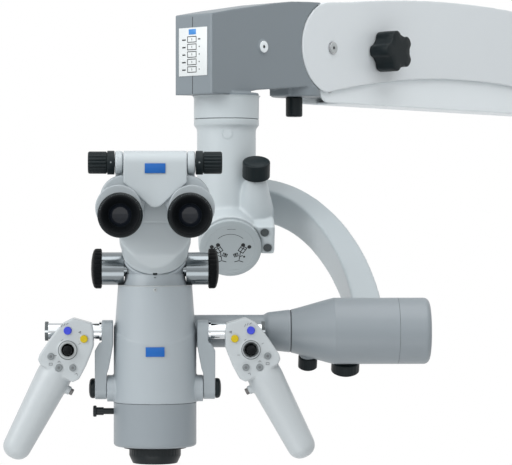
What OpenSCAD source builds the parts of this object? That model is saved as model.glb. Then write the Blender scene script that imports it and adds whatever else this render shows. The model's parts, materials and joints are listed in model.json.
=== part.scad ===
// Surgical microscope on the front end of its spring arm, in millimetres.
// Sideways places are measured from the optical axis, heights from the pitch
// axis, and the finished model is moved so that its origin is the middle of the
// vertical bore in the rear knuckle. Z is up and X is to the viewer's right.

/* [Gimbal] */
// Distance of the pitch axis behind the optical axis
pitch_back = 28; // [26:1:32]
// Drop of the pitch axis below the foot of the tilt axis
pitch_low = 1.7; // [1:0.1:2.5]
// Distance of the tilt axis to the right of the optical axis
tilt_side = 81; // [78:0.5:84]
// Rise of the tilt axis above the level, in degrees
tilt_rise = 27; // [25:1:29]
// Distance of the neck's axis to the right of the optical axis
neck_side = 77.8; // [75:0.1:82]
// Distance of the neck's axis behind the optical axis
neck_back = 228; // [222:1:236]
// Height of the neck's flange above the pitch axis
neck_rise = 221.2; // [215:0.1:230]
// Running clearance of a shaft in its hole, on the radius
fit = 0.05; // [0.02:0.01:0.1]
// Seam between two casings that face each other
seam = 0.3; // [0.2:0.05:0.5]

/* [Spring arm] */
// Turn of the arm from the viewer's right, in degrees
arm_yaw = 46; // [40:1:52]
// Distance between the front and the rear pivots
arm_len = 500; // [460:5:540]
// Distance from the neck's axis to the front pivots
arm_reach = 148; // [144:1:156]
// Width of the arm, the head and the cover
arm_w = 54; // [52:1:58]
// Height of the upper pivots above the swivel seam
upper_pivot = 84.8; // [82:0.1:88]
// Drop of the lower pivots below the upper ones
link_drop = 44.3; // [43:0.1:46]
// Radius of the four pivot pins
pin_r = 6; // [5:0.5:7]
// Wall of the cover
cover_wall = 3; // [2:0.5:3.4]
// Radius of the cover's two ends about the upper pivots
cover_end_r = 51.8; // [50:0.1:54]
// Rise of the cover's top at mid length above its ends
cover_crown = 14.8; // [10:0.2:18]
// Depth of the cover's lower edge below the upper pivots, at mid length
arch_mid = 25.3; // [22:0.1:30]
// Where the cover's roof ends over its round ends, in degrees above the level
roof_end_angle = 50; // [48:1:56]
// Width of the tongues that carry the pins
tongue_w = 28; // [24:1:29]
// Thickness of the upper link's two plates
upper_plate_t = 4.5; // [3:0.5:5]
// Half height of the upper link's plates
upper_plate_r = 14; // [12:0.5:16]
// Thickness of the lower link's channel
lower_plate_t = 3; // [2:0.5:3.4]
// Radius of the lower link's ends
lower_end_r = 17.5; // [16:0.5:18]
// Rise of the lower link's top edge at mid length
lower_rise = 10.5; // [6:0.5:12]
// Side clearance between the links
link_gap = 0.5; // [0.3:0.1:0.7]
// Radius of the gas spring's cylinder
gas_r = 11; // [9:0.5:12]
// Radius of the gas spring's rod
gas_rod_r = 5; // [4:0.5:6]
// Drop of the gas spring below the upper pivots
gas_drop = 16.3; // [15:0.1:18]

/* [Arm head and knuckle] */
// Radius of the hollow faces round the cover's ends, beyond the cover
hollow_gap = 1.1; // [0.6:0.1:1.5]
// Overhang of the head in front of the neck's axis
head_front = 53; // [48:1:58]
// Height of the head's underside above the swivel seam, at the front
head_base = 25; // [23:0.5:27]
// Height of the head's front face
head_face_h = 86.3; // [82:0.1:92]
// Rise of the head's top from the front face to the cover
head_top_rise = 23.5; // [20:0.5:27]
// Rise of the head's underside from the front to the cover
head_base_rise = 14.5; // [12:0.5:16]
// Fillet of the head's front corners
head_fillet = 3; // [2:0.5:5]
// Radius of the swivel boss under the head and of the neck's flange
boss_r = 35.25; // [33:0.25:37]
// Radius of the swivel spindle
spindle_r = 15; // [13:0.5:17]
// Length of the swivel spindle
spindle_len = 78; // [70:1:84]
// Thickness of the round plate under the head
under_plate_t = 11; // [10:0.5:12]
// Radius of that plate
under_plate_r = 28; // [27.5:0.25:29]
// Radius of the cap on the head's near side
head_cap_r = 7.5; // [5:0.5:9]
// Length of the rear knuckle's block
knuckle_len = 80; // [74:1:90]
// Width of the rear knuckle
knuckle_w = 64; // [60:1:72]
// Height of the rear knuckle
knuckle_h = 104; // [98:1:112]
// Height of the rear knuckle's underside above the swivel seam
knuckle_base = 14.5; // [12:0.5:17]
// Distance of the rear knuckle's bore behind the rear pivots
knuckle_bore_back = 87; // [84:1:92]
// Radius of the rear knuckle's bore
knuckle_bore_r = 15; // [13:0.5:17]

/* [Arm knobs] */
// Outer radius of the lift knob
lift_knob_r = 24.1; // [20:0.1:26]
// Thickness of the lift knob
lift_knob_h = 26; // [22:0.5:30]
// Length of the lift knob's neck outside the cover
lift_neck_h = 1.5; // [1:0.25:3]
// Radius of the lift knob's neck
lift_neck_r = 9; // [7:0.5:11]
// Distance of the lift knob behind the front pivots
lift_knob_back = 88.3; // [78:0.1:96]
// Number of the lift knob's lobes
lift_lobes = 5; // [5:1:8]
// Radius of the swivel lock knob
lock_knob_r = 9.4; // [8:0.2:11]
// Height of the swivel lock knob
lock_knob_h = 22; // [19:0.5:24]
// Distance of the swivel lock knob from the neck's axis
lock_knob_reach = 113; // [110:1:116]
// Radius of the thin stems of the small knobs
stem_r = 4; // [3:0.5:5]

/* [Neck and tilt joint] */
// Radius of the neck's column
column_r = 32.2; // [30:0.2:34]
// Thickness of the neck's flange
flange_t = 7.2; // [6:0.2:9]
// Height of the chamfer under the flange
flange_chamfer = 3; // [2:0.5:4]
// Radius of the tilt housing
tilt_housing_r = 34.5; // [33:0.5:36]
// Reach of the tilt housing in front of the neck's axis
tilt_front_len = 38.5; // [37:0.5:42]
// Reach of the tilt housing behind the neck's axis
tilt_rear_len = 47.5; // [44:0.5:50]
// Radius of the tilt plate
tilt_plate_r = 33.4; // [31:0.2:34]
// Thickness of the tilt plate
tilt_plate_t = 4; // [3:0.5:5]
// Height of the tilt plate's rim and ring
tilt_rim_h = 0.8; // [0.5:0.1:1.5]
// Radius of the tilt shaft
tilt_shaft_r = 14; // [12:0.5:16]
// Radius of the knob boss beside the tilt housing
knob_boss_r = 20; // [18:0.5:21]
// Distance of the knob boss's axis to the right of the tilt axis
knob_boss_side = 27.7; // [27:0.1:29]
// Width of the lug at the boss's foot
lug_w = 21.3; // [20:0.1:23]
// Height of the lug
lug_h = 33; // [30:0.5:35]
// Radius of the lug's screw recesses
lug_screw_r = 4.5; // [3.5:0.5:5]
// Radius of the tilt knob
tilt_knob_r = 14.9; // [12.5:0.1:15.5]
// Height of the tilt knob
tilt_knob_h = 18.3; // [14:0.1:20]
// Height of the tilt knob's underside above the tilt axis
tilt_knob_up = 67; // [65:0.5:70]

/* [C arm] */
// Distance of the bend's centre to the right of the optical axis
bend_side = 112; // [109:0.5:115]
// Width of the bend's outside
bend_w = 119; // [117:0.5:121]
// Thickness of the C arm
c_arm_t = 30; // [28:0.5:32]
// Height of the C arm
c_arm_h = 41; // [38:0.5:44]
// Gap between the neck's axis and the C arm's top, along the tilt axis
c_arm_back = 56.5; // [55:0.5:62]
// Radius of the C arm's hub
hub_r = 30; // [28:0.5:32]

/* [Pitch joint] */
// Radius of the pitch housing
bottle_r = 33.6; // [32:0.2:34.4]
// Radius of the housing's narrow end
bottle_neck_r = 21.8; // [21:0.1:22.4]
// Distance of the housing's narrow end from the optical axis
bottle_in = 137; // [136:0.2:139]
// Length of the shoulder
shoulder_len = 43.3; // [40:0.1:48]
// Distance of the end cap's seam from the optical axis
cap_seam = 245.5; // [243:0.5:250]
// Length of the end cap
pitch_cap_len = 34.5; // [30:0.5:38]
// Edge radius of the end cap
pitch_cap_edge = 6; // [4:0.5:8]
// Length of the pitch hub
pitch_hub_len = 27.5; // [26:0.5:31]
// Edge radius of the pitch hub's inner end
pitch_hub_edge = 6; // [4:0.5:8]
// Radius of the bar that carries the microscope
pitch_bar_r = 16.5; // [15.5:0.5:17]
// Radius of the shaft inside the pitch housing
pitch_shaft_r = 12; // [10:0.5:13]
// Radius of the small lock knob
pitch_lock_r = 9.7; // [8.5:0.1:10.5]
// Height of the small lock knob
pitch_lock_h = 11.5; // [10:0.5:14]
// Distance of the lock knob's axis from the housing's narrow end
pitch_lock_at = 18.4; // [16:0.2:20]
// Distance of the lock knob's underside from the pitch axis
pitch_lock_up = 31; // [30:0.2:33]
// Radius of the balance knob
balance_r = 14.4; // [12:0.1:16]
// Height of the balance knob
balance_h = 12.9; // [11:0.1:15]
// Distance of the balance knob's axis from the housing's narrow end
balance_at = 57; // [53:0.5:60]

/* [Body] */
// Radius of the body
body_r = 41.3; // [40:0.1:43]
// Height of the seam between the body and the lower housing
body_seam_z = -71.5; // [-74:0.5:-71.5]
// Radius of the body's top rim
body_top_r = 37; // [35.5:0.25:38.5]
// Height of the body's top rim
body_top_z = 45.3; // [43:0.1:47]
// Height of the slanting crease at the front
crease_z = -12; // [-15:1:-8]
// Slant of the crease, in degrees
crease_slant = 22; // [18:1:26]
// Radius of the bosses that carry the brackets
side_boss_r = 13.3; // [12.5:0.1:14]
// Reach of those bosses beyond the body
side_boss_out = 6.5; // [5.5:0.1:7.5]
// Radius of the light path
light_r = 12; // [10:0.5:14]
// Height of the lower housing
lower_h = 43.5; // [41:0.5:46]
// Edge radius of the lower housing
lower_edge = 3.5; // [2:0.5:5]
// Radius of the objective's flange
objective_flange_r = 31.3; // [29:0.1:34]
// Radius of the objective's barrel
objective_r = 25.85; // [24.5:0.05:28]
// Length of the objective's barrel below its flange
objective_len = 15; // [13:0.5:18]
// Edge radius of the objective's barrel
objective_edge = 4; // [2:0.5:4]
// Radius of the objective lens
lens_r = 21; // [19:0.25:22]
// Thickness of the objective lens
lens_t = 6; // [5:0.5:8]
// Radius of the filter lever's rod
filter_rod_r = 3.1; // [2.5:0.1:3.5]
// Reach of the filter lever from the optical axis
filter_reach = 61.8; // [59:0.2:66]
// Depth of the filter lever below the pitch axis
filter_drop = 80.3; // [79:0.1:84]

/* [Magnification changer] */
// Radius of the changer housing's waist
waist_r = 29; // [28:0.25:29.5]
// Radius of the changer housing's foot
changer_foot_r = 31.6; // [30.5:0.1:33]
// Radius of the changer housing's top
changer_top_r = 32.4; // [31.5:0.1:33]
// Height of the waist above the body's rim
waist_up = 9.2; // [8:0.2:12]
// Height of the changer's axle above the body's rim
axle_up = 16.7; // [16:0.1:18]
// Radius of the changer's axle
axle_r = 8; // [6:0.5:9]
// Radius of the changer's drum
drum_r = 13; // [11:0.5:13.5]
// Width of the changer's drum
drum_w = 40; // [36:1:42]
// Radius of the chrome sleeves
sleeve_r = 16.4; // [15:0.1:17.5]
// Distance of the sleeves from the optical axis
sleeve_in = 31; // [30.5:0.1:32.5]
// Length of a sleeve
sleeve_len = 21.8; // [19:0.2:24]
// Radius of the changer knobs
mag_knob_r = 20; // [18:0.25:22]
// Length of a changer knob
mag_knob_len = 10.8; // [9:0.2:13]

/* [Binocular tube] */
// Radius of the slanting flanges under the tube
tube_flange_r = 33.5; // [32.5:0.25:34.5]
// Thickness of each slanting flange
tube_flange_t = 4; // [3:0.25:4.5]
// Dark gap between the slanting flanges
tube_flange_gap = 1.5; // [1:0.1:2]
// Height of the flanges' middle above the body's rim
tube_flange_up = 33.7; // [33:0.1:36]
// Distance of the flanges' middle in front of the optical axis
tube_flange_front = 6; // [4:0.5:8]
// Width of the tube's casing
casing_w = 70.6; // [68:0.2:74]
// Height of the casing
casing_h = 67; // [62:0.5:70]
// Depth of the casing
casing_d = 60; // [59:0.5:61]
// Height of the hinge bar above the pitch axis
bar_z = 165.8; // [165:0.1:168]
// Distance of the hinge bar in front of the optical axis
bar_front = 70; // [69:0.25:71]
// Radius of the hinge bar
bar_r = 11.6; // [10.5:0.1:11.8]
// Half length of the hinge bar
bar_half = 30.7; // [29.5:0.1:31.5]
// Thickness of a hinge ear
ear_t = 8.1; // [7:0.1:9]
// Radius of the spindle in the hinge bar
pd_spindle_r = 4; // [3:0.25:5]
// Length of the pupil distance ring
pd_ring_len = 7.1; // [6:0.1:8]
// Length of the pupil distance knob
pd_knob_len = 18.6; // [16:0.2:22]
// Radius of the pupil distance knob
pd_knob_r = 10.7; // [9.5:0.1:11.5]
// Ribs of a pupil distance knob
pd_ribs = 18; // [12:1:24]
// Thickness of the shield in front of the prism housings
shield_t = 3; // [2:0.25:3.3]
// Distance of the prism pivots from the middle
prism_side = 31; // [30:0.25:32]
// Drop of the prism pivots below the hinge bar
prism_drop = 34.5; // [34.3:0.1:36]
// Radius of the prism housings
prism_r = 22.4; // [21:0.1:22.6]
// Depth of the prism housings
prism_d = 28.4; // [27:0.2:28.6]
// Distance of the prism housings' backs in front of the optical axis
prism_front = 50; // [50:0.25:51.5]
// Distance of the eyepiece axes from the middle
eye_side = 33.45; // [32:0.05:35]
// Drop of the eyepiece axes below the prism pivots
eye_drop = 16.7; // [15:0.1:18]
// Radius of the necks in front of the prism housings
prism_neck_r = 20; // [18:0.25:20.5]
// Radius of the collars in front of the necks
collar_r = 22.3; // [21.5:0.1:23]
// Length of a collar
collar_len = 12; // [10:0.5:14]
// Offset of the eyepiece collar outward
collar_side = 1.8; // [1:0.1:2.5]
// Offset of the eyepiece collar upward
collar_up = 7; // [5:0.25:8]
// Radius of the dioptre rings
dioptre_r = 21.75; // [20:0.25:23]
// Length of the dioptre rings
dioptre_len = 14; // [12:0.5:16]
// Radius of the eyepiece barrels
barrel_r = 15; // [14:0.25:16]
// Radius of the eyecups
eyecup_r = 19; // [18:0.25:20]
// Length of the eyecups
eyecup_len = 17.7; // [16:0.1:20]

/* [Handles] */
// Width of a bracket in front view
bracket_w = 18; // [17:0.25:20]
// Half height of a bracket's round ends
bracket_r = 11; // [10:0.25:12]
// Depth of the bracket's pivot below the pitch axis
bracket_drop = 57.3; // [56.5:0.1:58]
// Distance of the bracket's pivot in front of the optical axis
bracket_front = 2; // [0:0.5:4]
// Distance of the handle shaft in front of the optical axis
shaft_front = 9; // [8:0.5:9.5]
// Radius of the handle shaft
shaft_r = 8; // [7:0.25:8.5]
// Distance of the shaft's outer end from the body
shaft_out = 68; // [64.5:0.1:73]
// Distance of the left joystick from the body
left_handle_out = 44.9; // [43.9:0.1:54.7]
// Distance of the right joystick from the body
right_handle_out = 53.5; // [43.9:0.1:54.7]
// Width of a handle's head
handle_w = 54.8; // [52:0.2:55.5]
// Height of a handle's head
handle_h = 63.5; // [62:0.5:66]
// Thickness of a handle's head
handle_t = 32; // [31:0.5:33]
// Distance of the handle's middle in front of the optical axis
handle_front = 11; // [10.5:0.25:12]
// Lean of the grip from the vertical, in degrees
grip_lean = 27.5; // [25:0.5:30]
// Offset of the grip's axis towards the body
grip_offset = 7.9; // [6:0.1:9]
// Distance of the grip's end from the shaft
grip_len = 137.2; // [130:0.1:150]
// Radius of the grip at its thick end
grip_r = 17.6; // [16:0.2:19]
// Radius of the grip at its thin end
grip_end_r = 14.1; // [13:0.1:15.5]
// Radius of the joystick's ring
joystick_ring_r = 9.5; // [8.5:0.25:10]
// Radius of the joystick's ball
joystick_ball_r = 5; // [4:0.25:5.5]
// Radius of the large round buttons
button_r = 4; // [3.5:0.1:4.2]
// Radius of the yellow button
yellow_r = 3.8; // [3.4:0.1:4.2]
// Radius of the grey buttons
grey_r = 3.4; // [3:0.1:4]
// Height of a button above the handle's face
button_h = 2; // [1.5:0.1:2.5]
// Radius of the trigger button
trigger_r = 3.3; // [2.8:0.1:3.6]

/* [Hidden] */
$fn = 96;
// Facets of the very large circles
fine = 720;
// Steps of a rounded edge and of a curved outline
edge_steps = 6;
curve_steps = 24;
// Overrun of every cut
over = 1;
side_names = [-1, 1];

pale = [0.80, 0.80, 0.77];
white = [0.88, 0.88, 0.86];
dark_grey = [0.45, 0.46, 0.47];
mid_grey = [0.58, 0.60, 0.61];
black = [0.10, 0.10, 0.11];
chrome = [0.78, 0.80, 0.82];
glass = [0.55, 0.65, 0.75, 0.6];
blue = [0.24, 0.30, 0.86];
yellow = [0.80, 0.67, 0.12];
grey = [0.60, 0.60, 0.62];
brown = [0.50, 0.42, 0.36];

// Radius of the circle with this chord and this rise
function bow_r(chord, rise) = (chord * chord / 4 + rise * rise) / (2 * rise);
// Points of an arc with centre c and radius r between two angles
function arc(c, r, a0, a1, n) =
  [for (i = [0:n]) let(a = a0 + (a1 - a0) * i / n) [c[0] + r * cos(a), c[1] + r * sin(a)]];
// Points of a flat bow between x0 and x1 at height z, without its two ends
function bow(x0, x1, z, rise) =
  let(r = bow_r(abs(x1 - x0), abs(rise)), mid = (x0 + x1) / 2, d = sign(rise))
  [for (i = [1:curve_steps - 1]) let(x = x0 + (x1 - x0) * i / curve_steps)
    [x, z + d * (sqrt(r * r - (x - mid) * (x - mid)) - r) + rise]];
// Points of an elliptical quarter with half axes rx and ry
function quarter(cx, rx, ry, a0, a1) =
  [for (i = [0:curve_steps])
    let(a = a0 + (a1 - a0) * i / curve_steps) [cx + rx * cos(a), ry * sin(a)]];
// Points of a list of shares, in the sizes w and h
function scaled(shares, w, h) = [for (p = shares) [p[0] * w, p[1] * h]];

seam_z = neck_rise + seam;
arm_half = arm_w / 2;
cover_in = arm_half - cover_wall;
upper_in = tongue_w / 2 + link_gap;
upper_out = upper_in + upper_plate_t;
lower_in = upper_out + link_gap;
lower_out = lower_in + lower_plate_t;
lower_pivot = upper_pivot - link_drop;
rear_pivot = arm_reach + arm_len;
mid_arm = arm_reach + arm_len / 2;
hollow_r = cover_end_r + hollow_gap;
knuckle_bore_at = rear_pivot + knuckle_bore_back;
knuckle_end = knuckle_bore_at + knuckle_w / 2 + pin_r;
mount_up = knuckle_base + knuckle_h / 2;
mount = [neck_side + knuckle_bore_at * cos(arm_yaw),
         neck_back + knuckle_bore_at * sin(arm_yaw),
         seam_z + mount_up];

// Places along the tilt axis, counted from the pitch axis
tilt_mid = (neck_back - pitch_back) / cos(tilt_rise);
tilt_front = tilt_mid - tilt_front_len;
tilt_rear = tilt_mid + tilt_rear_len;
c_arm_in = tilt_mid + c_arm_back;
c_arm_out = c_arm_in + c_arm_t;

// Moves a child from the measuring frame to the model's origin
module place() { translate(-mount) children(); }
// Frame of the arm: X along it, Z up from the swivel seam, -Y its near side
module at_arm() {
  translate([neck_side, neck_back, seam_z]) rotate([0, 0, arm_yaw]) children();
}
// Frame of the tilt axis: Z along it, away from the viewer, from its foot over the pitch axis
module at_tilt() {
  translate([tilt_side, pitch_back, 0]) rotate([tilt_rise - 90, 0, 0]) children();
}
// Frame square to the tilt axis: Z across it, at a distance s and a side x
module above_tilt(x, s) {
  at_tilt() translate([x, 0, s]) rotate([90, 0, 0]) children();
}
// Frame of the pitch axis: Z along it to the right
module at_pitch() { translate([0, pitch_back, -pitch_low]) rotate([0, 90, 0]) children(); }
// Frame of a knob on the pitch housing: Z away from the pitch axis
module on_bottle(x) {
  translate([x, pitch_back, -pitch_low]) rotate([tilt_rise - 180, 0, 0]) children();
}
// An outline of X and Z, made a slab of this width across Y
module slab(w) { rotate([90, 0, 0]) linear_extrude(w, center = true) children(); }
// The same slab twice, its inner faces at a distance from the middle
module slab_pair(inner, t) {
  for (s = side_names) translate([0, s * (inner + t / 2), 0]) slab(t) children();
}
// A cylinder across Y at x and z
module cross_pin(x, z, r, w) {
  translate([x, 0, z]) rotate([90, 0, 0]) cylinder(r = r, h = w, center = true);
}
// A disc with rounded lower and upper edges
module puck(r, h, low, top) {
  rotate_extrude() polygon(concat(
    [[0, 0]],
    low > 0 ? arc([r - low, low], low, -90, 0, edge_steps) : [[r, 0]],
    top > 0 ? arc([r - top, h - top], top, 0, 90, edge_steps) : [[r, h]],
    [[0, h]]));
}
// A round knob's outline with lobes
module lobed(r, lobes, lobe_r) {
  circle(r = r - lobe_r * 0.8);
  for (i = [0:lobes - 1]) rotate(360 * (i + 0.5) / lobes) translate([r - lobe_r, 0]) circle(r = lobe_r);
}
module on_side(side) {
  if (side < 0) mirror([1, 0, 0]) children();
  else children();
}

// Spring arm
bar_inset = 40;
bar_t = 12;
post_r = 5;
post_up = 5.7;
floor_inset = 27;
tongue_down = 55.3;
tongue_up = 13.7;
lower_boss_r = 11;
pin_head_t = 1.4;
pin_head_r = 6.75;
post_shares = [0.3, 0.7];
gas_body_share = 0.68;

arch_end_angle = 80;

// Crown of the cover and its two ends down to an angle, brought in by an inset
cover_flat = 12;
function cover_top(inset, from) = concat(
  arc([arm_reach, upper_pivot], cover_end_r - inset, 180 - from, 90, curve_steps),
  bow(arm_reach + cover_flat, rear_pivot - cover_flat, upper_pivot + cover_end_r - inset, cover_crown),
  arc([rear_pivot, upper_pivot], cover_end_r - inset, 90, from, curve_steps));
module arm_cover() {
  foot_x = cover_end_r * cos(arch_end_angle);
  foot_z = cover_end_r * sin(arch_end_angle);
  roof_z = cover_end_r * sin(roof_end_angle);
  roof_in = asin(roof_z / (cover_end_r - cover_wall));
  low = upper_pivot - hollow_r;
  color(white) place() at_arm() difference() {
    slab(arm_w) polygon(concat(
      cover_top(0, -arch_end_angle),
      bow(rear_pivot + foot_x, arm_reach - foot_x, upper_pivot - foot_z, foot_z - arch_mid)));
    slab(2 * cover_in) polygon(concat(
      [[arm_reach - hollow_r, low], [arm_reach - hollow_r, upper_pivot + roof_z]],
      cover_top(cover_wall, roof_in),
      [[rear_pivot + hollow_r, upper_pivot + roof_z], [rear_pivot + hollow_r, low]]));
    for (x = [arm_reach, rear_pivot]) cross_pin(x, upper_pivot, pin_r + fit, arm_w + over);
    translate([arm_reach + lift_knob_back, -arm_half, upper_pivot])
      rotate([90, 0, 0]) cylinder(r = lift_neck_r + seam, h = 3 * cover_wall, center = true);
  }
}
module upper_link() {
  color(mid_grey) place() at_arm() difference() {
    union() {
      slab_pair(upper_in, upper_plate_t) {
        for (x = [arm_reach, rear_pivot]) translate([x, upper_pivot]) circle(r = upper_plate_r);
        translate([arm_reach, upper_pivot - upper_plate_r]) square([arm_len, 2 * upper_plate_r]);
      }
      for (x = [arm_reach + bar_inset, rear_pivot - bar_inset - bar_t])
        translate([x, -upper_in - over, upper_pivot - gas_drop - gas_r])
          cube([bar_t, 2 * (upper_in + over), gas_drop + gas_r + upper_plate_r]);
      for (p = post_shares)
        cross_pin(arm_reach + p * arm_len, upper_pivot + post_up, post_r, 2 * (cover_in - seam));
    }
    for (x = [arm_reach, rear_pivot]) cross_pin(x, upper_pivot, pin_r + fit, arm_w);
    translate([arm_reach + lift_knob_back, -upper_out - over, upper_pivot])
      rotate([-90, 0, 0]) cylinder(r = stem_r + fit, h = upper_plate_t + 2 * over);
  }
}
module lower_outline() {
  top_r = bow_r(arm_len, lower_rise);
  for (x = [arm_reach, rear_pivot]) translate([x, lower_pivot]) circle(r = lower_end_r);
  intersection() {
    translate([mid_arm, lower_pivot + lower_end_r + lower_rise - top_r]) circle(r = top_r, $fn = fine);
    translate([arm_reach, lower_pivot - lower_end_r]) square([arm_len, 2 * lower_end_r + lower_rise]);
  }
}
module lower_link() {
  color(mid_grey) place() at_arm() difference() {
    union() {
      slab_pair(lower_in, lower_plate_t) lower_outline();
      translate([arm_reach + floor_inset, -lower_in - over, lower_pivot - lower_end_r])
        cube([arm_len - 2 * floor_inset, 2 * (lower_in + over), lower_plate_t]);
    }
    for (x = [arm_reach, rear_pivot]) cross_pin(x, lower_pivot, pin_r + fit, arm_w);
  }
}
module gas_spring() {
  from = arm_reach + bar_inset + bar_t + seam;
  len = arm_len - 2 * (bar_inset + bar_t + seam);
  color(black) place() at_arm() translate([from, 0, upper_pivot - gas_drop]) rotate([0, 90, 0]) {
    puck(gas_r, len * gas_body_share, 2 * seam, 2 * seam);
    cylinder(r = gas_rod_r, h = len);
  }
}
module pivot_pins(x) {
  reach = arm_half + seam;
  color(chrome) place() at_arm() {
    cross_pin(x, upper_pivot, pin_r, 2 * reach);
    for (s = side_names) translate([x, s * (reach + pin_head_t / 2), upper_pivot])
      rotate([90, 0, 0]) cylinder(r = pin_head_r, h = pin_head_t, center = true);
    cross_pin(x, lower_pivot, pin_r, 2 * (lower_out + link_gap));
  }
}
module front_pins() { pivot_pins(arm_reach); }
module rear_pins() { pivot_pins(rear_pivot); }

// Tongue that reaches the pins of one pivot pair, towards +X from a block face
module tongue_outline(from, pivot) {
  low = min(from, pivot);
  translate([low, upper_pivot - tongue_down]) square([abs(pivot - from), tongue_down + tongue_up]);
  translate([pivot, upper_pivot]) circle(r = tongue_up);
  translate([pivot, lower_pivot]) circle(r = lower_boss_r);
}
module tongue(from, pivot) {
  difference() {
    slab(tongue_w) tongue_outline(from, pivot);
    cross_pin(pivot, upper_pivot, pin_r + fit, arm_w);
    cross_pin(pivot, lower_pivot, pin_r + fit, arm_w);
  }
}

// Arm head
head_boss_h = 28.5;
under_plate_z = 28.9;
under_plate_out = 3;
tongue_root = 8;
head_top_shares = [[0, 0], [0.19, 0.3], [0.378, 0.56], [0.52, 0.76], [0.652, 0.9], [0.78, 0.965],
                   [0.9, 1], [1, 1.01]];
head_base_shares = [[1, 1], [0.82, 1], [0.6, 0.76], [0.368, 0.48], [0.19, 0.07], [0, 0]];
head_cap_shares = [0.342, 0.63];

module head_profile() {
  len = head_front + arm_reach;
  face = [-head_front, head_base + head_face_h];
  foot = [-head_front, head_base];
  polygon(concat(
    [for (p = head_top_shares) [face[0] + p[0] * len, face[1] + p[1] * head_top_rise]],
    [for (p = head_base_shares) [foot[0] + p[0] * len, foot[1] + p[1] * head_base_rise]]));
}
module arm_head() {
  corner_y = arm_half + over - head_fillet;
  color(dark_grey) place() at_arm() difference() {
    union() {
      difference() {
        union() {
          intersection() {
            slab(arm_w) head_profile();
            linear_extrude(3 * head_face_h) polygon(concat(
              arc([head_fillet - head_front, corner_y], head_fillet, 90, 180, edge_steps),
              arc([head_fillet - head_front, -corner_y], head_fillet, 180, 270, edge_steps),
              [[arm_reach + over, -arm_half - over], [arm_reach + over, arm_half + over]]));
          }
          translate([lock_knob_reach + under_plate_out, 0, under_plate_z])
            cylinder(r = under_plate_r, h = under_plate_t);
        }
        cross_pin(arm_reach, upper_pivot, hollow_r, 2 * arm_w);
        cross_pin(arm_reach, lower_pivot, lower_end_r + hollow_gap, 2 * arm_w);
      }
      cylinder(r = boss_r, h = head_boss_h);
      tongue(arm_reach - hollow_r - tongue_root, arm_reach);
      translate([head_cap_shares[0] * head_face_h, -arm_half, head_base + head_cap_shares[1] * head_face_h])
        rotate([90, 0, 0]) cylinder(r = head_cap_r, h = pin_head_t);
    }
    translate([0, 0, -over]) cylinder(r = spindle_r + fit, h = spindle_len + over + seam);
    translate([lock_knob_reach, 0, under_plate_z - over])
      cylinder(r = stem_r + fit, h = under_plate_t + 2 * over);
  }
}
module rear_knuckle() {
  color(dark_grey) place() at_arm() difference() {
    union() {
      difference() {
        translate([knuckle_end - knuckle_len, -knuckle_w / 2, knuckle_base])
          cube([knuckle_len - knuckle_w / 2, knuckle_w, knuckle_h]);
        cross_pin(rear_pivot, upper_pivot, hollow_r, knuckle_w + over);
      }
      translate([knuckle_end - knuckle_w / 2, 0, knuckle_base]) cylinder(r = knuckle_w / 2, h = knuckle_h);
      tongue(rear_pivot + hollow_r + tongue_root, rear_pivot);
    }
    translate([knuckle_bore_at, 0, knuckle_base - over])
      cylinder(r = knuckle_bore_r, h = knuckle_h + 2 * over);
  }
}

// Arm knobs
lift_lobe_r = 7;
lock_stem_h = 6;

module lift_knob() {
  color(black) place() at_arm() translate([arm_reach + lift_knob_back, -arm_half, upper_pivot])
    rotate([90, 0, 0]) {
      translate([0, 0, lift_neck_h]) linear_extrude(lift_knob_h) lobed(lift_knob_r, lift_lobes, lift_lobe_r);
      translate([0, 0, -cover_wall]) cylinder(r = lift_neck_r, h = cover_wall + lift_neck_h + over);
      translate([0, 0, upper_in - arm_half]) cylinder(r = stem_r, h = arm_half - upper_in);
    }
}
module swivel_lock_knob() {
  color(black) place() at_arm() translate([lock_knob_reach, 0, under_plate_z - seam - lock_knob_h]) {
    puck(lock_knob_r, lock_knob_h, 2, 1);
    cylinder(r = stem_r, h = lock_knob_h + lock_stem_h);
  }
}

// Neck and tilt joint
column_foot = 100;
boss_low = 12;
boss_high = 28;
boss_top_r = 10.5;
rear_collar_r = 28;
lug_low = 9;
lug_out = 4;
lug_screw_depth = 3;
lug_screw_shares = [[-0.02, 0.77], [0.16, 0.22]];
tilt_knob_stem = 22;
ring_r_share = 0.78;

module neck_column() {
  boss_s = tilt_mid - knob_boss_r * 0.375;
  color(pale) place() difference() {
    union() {
      translate([neck_side, neck_back, 0]) {
        translate([0, 0, column_foot])
          cylinder(r = column_r, h = neck_rise - flange_t - column_foot);
        translate([0, 0, neck_rise - flange_t - flange_chamfer])
          cylinder(r1 = column_r, r2 = boss_r, h = flange_chamfer);
        translate([0, 0, neck_rise - flange_t]) cylinder(r = boss_r, h = flange_t);
        translate([0, 0, neck_rise - flange_t]) cylinder(r = spindle_r, h = flange_t + spindle_len);
      }
      at_tilt() {
        translate([0, 0, tilt_front]) cylinder(r = tilt_housing_r, h = tilt_rear - tilt_front);
        translate([0, 0, tilt_rear - over])
          cylinder(r = rear_collar_r, h = c_arm_in - seam - tilt_rear + over);
      }
      above_tilt(knob_boss_side, boss_s) {
        translate([0, 0, -boss_low]) cylinder(r = knob_boss_r, h = boss_low + boss_high);
        translate([0, 0, boss_high])
          cylinder(r1 = knob_boss_r, r2 = boss_top_r, h = tilt_knob_up - seam - boss_high);
      }
      lug_body();
    }
    at_tilt() translate([0, 0, tilt_front - over])
      cylinder(r = tilt_shaft_r + fit, h = c_arm_in - tilt_front + 2 * over);
    above_tilt(knob_boss_side, boss_s) translate([0, 0, tilt_knob_up - tilt_knob_stem - over])
      cylinder(r = stem_r + fit, h = tilt_knob_stem + 2 * over);
    lug_recesses();
    at_tilt() translate([0, 0, tilt_front - lug_out - over])
      cylinder(r = tilt_plate_r + seam, h = lug_out + over);
  }
}
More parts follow.
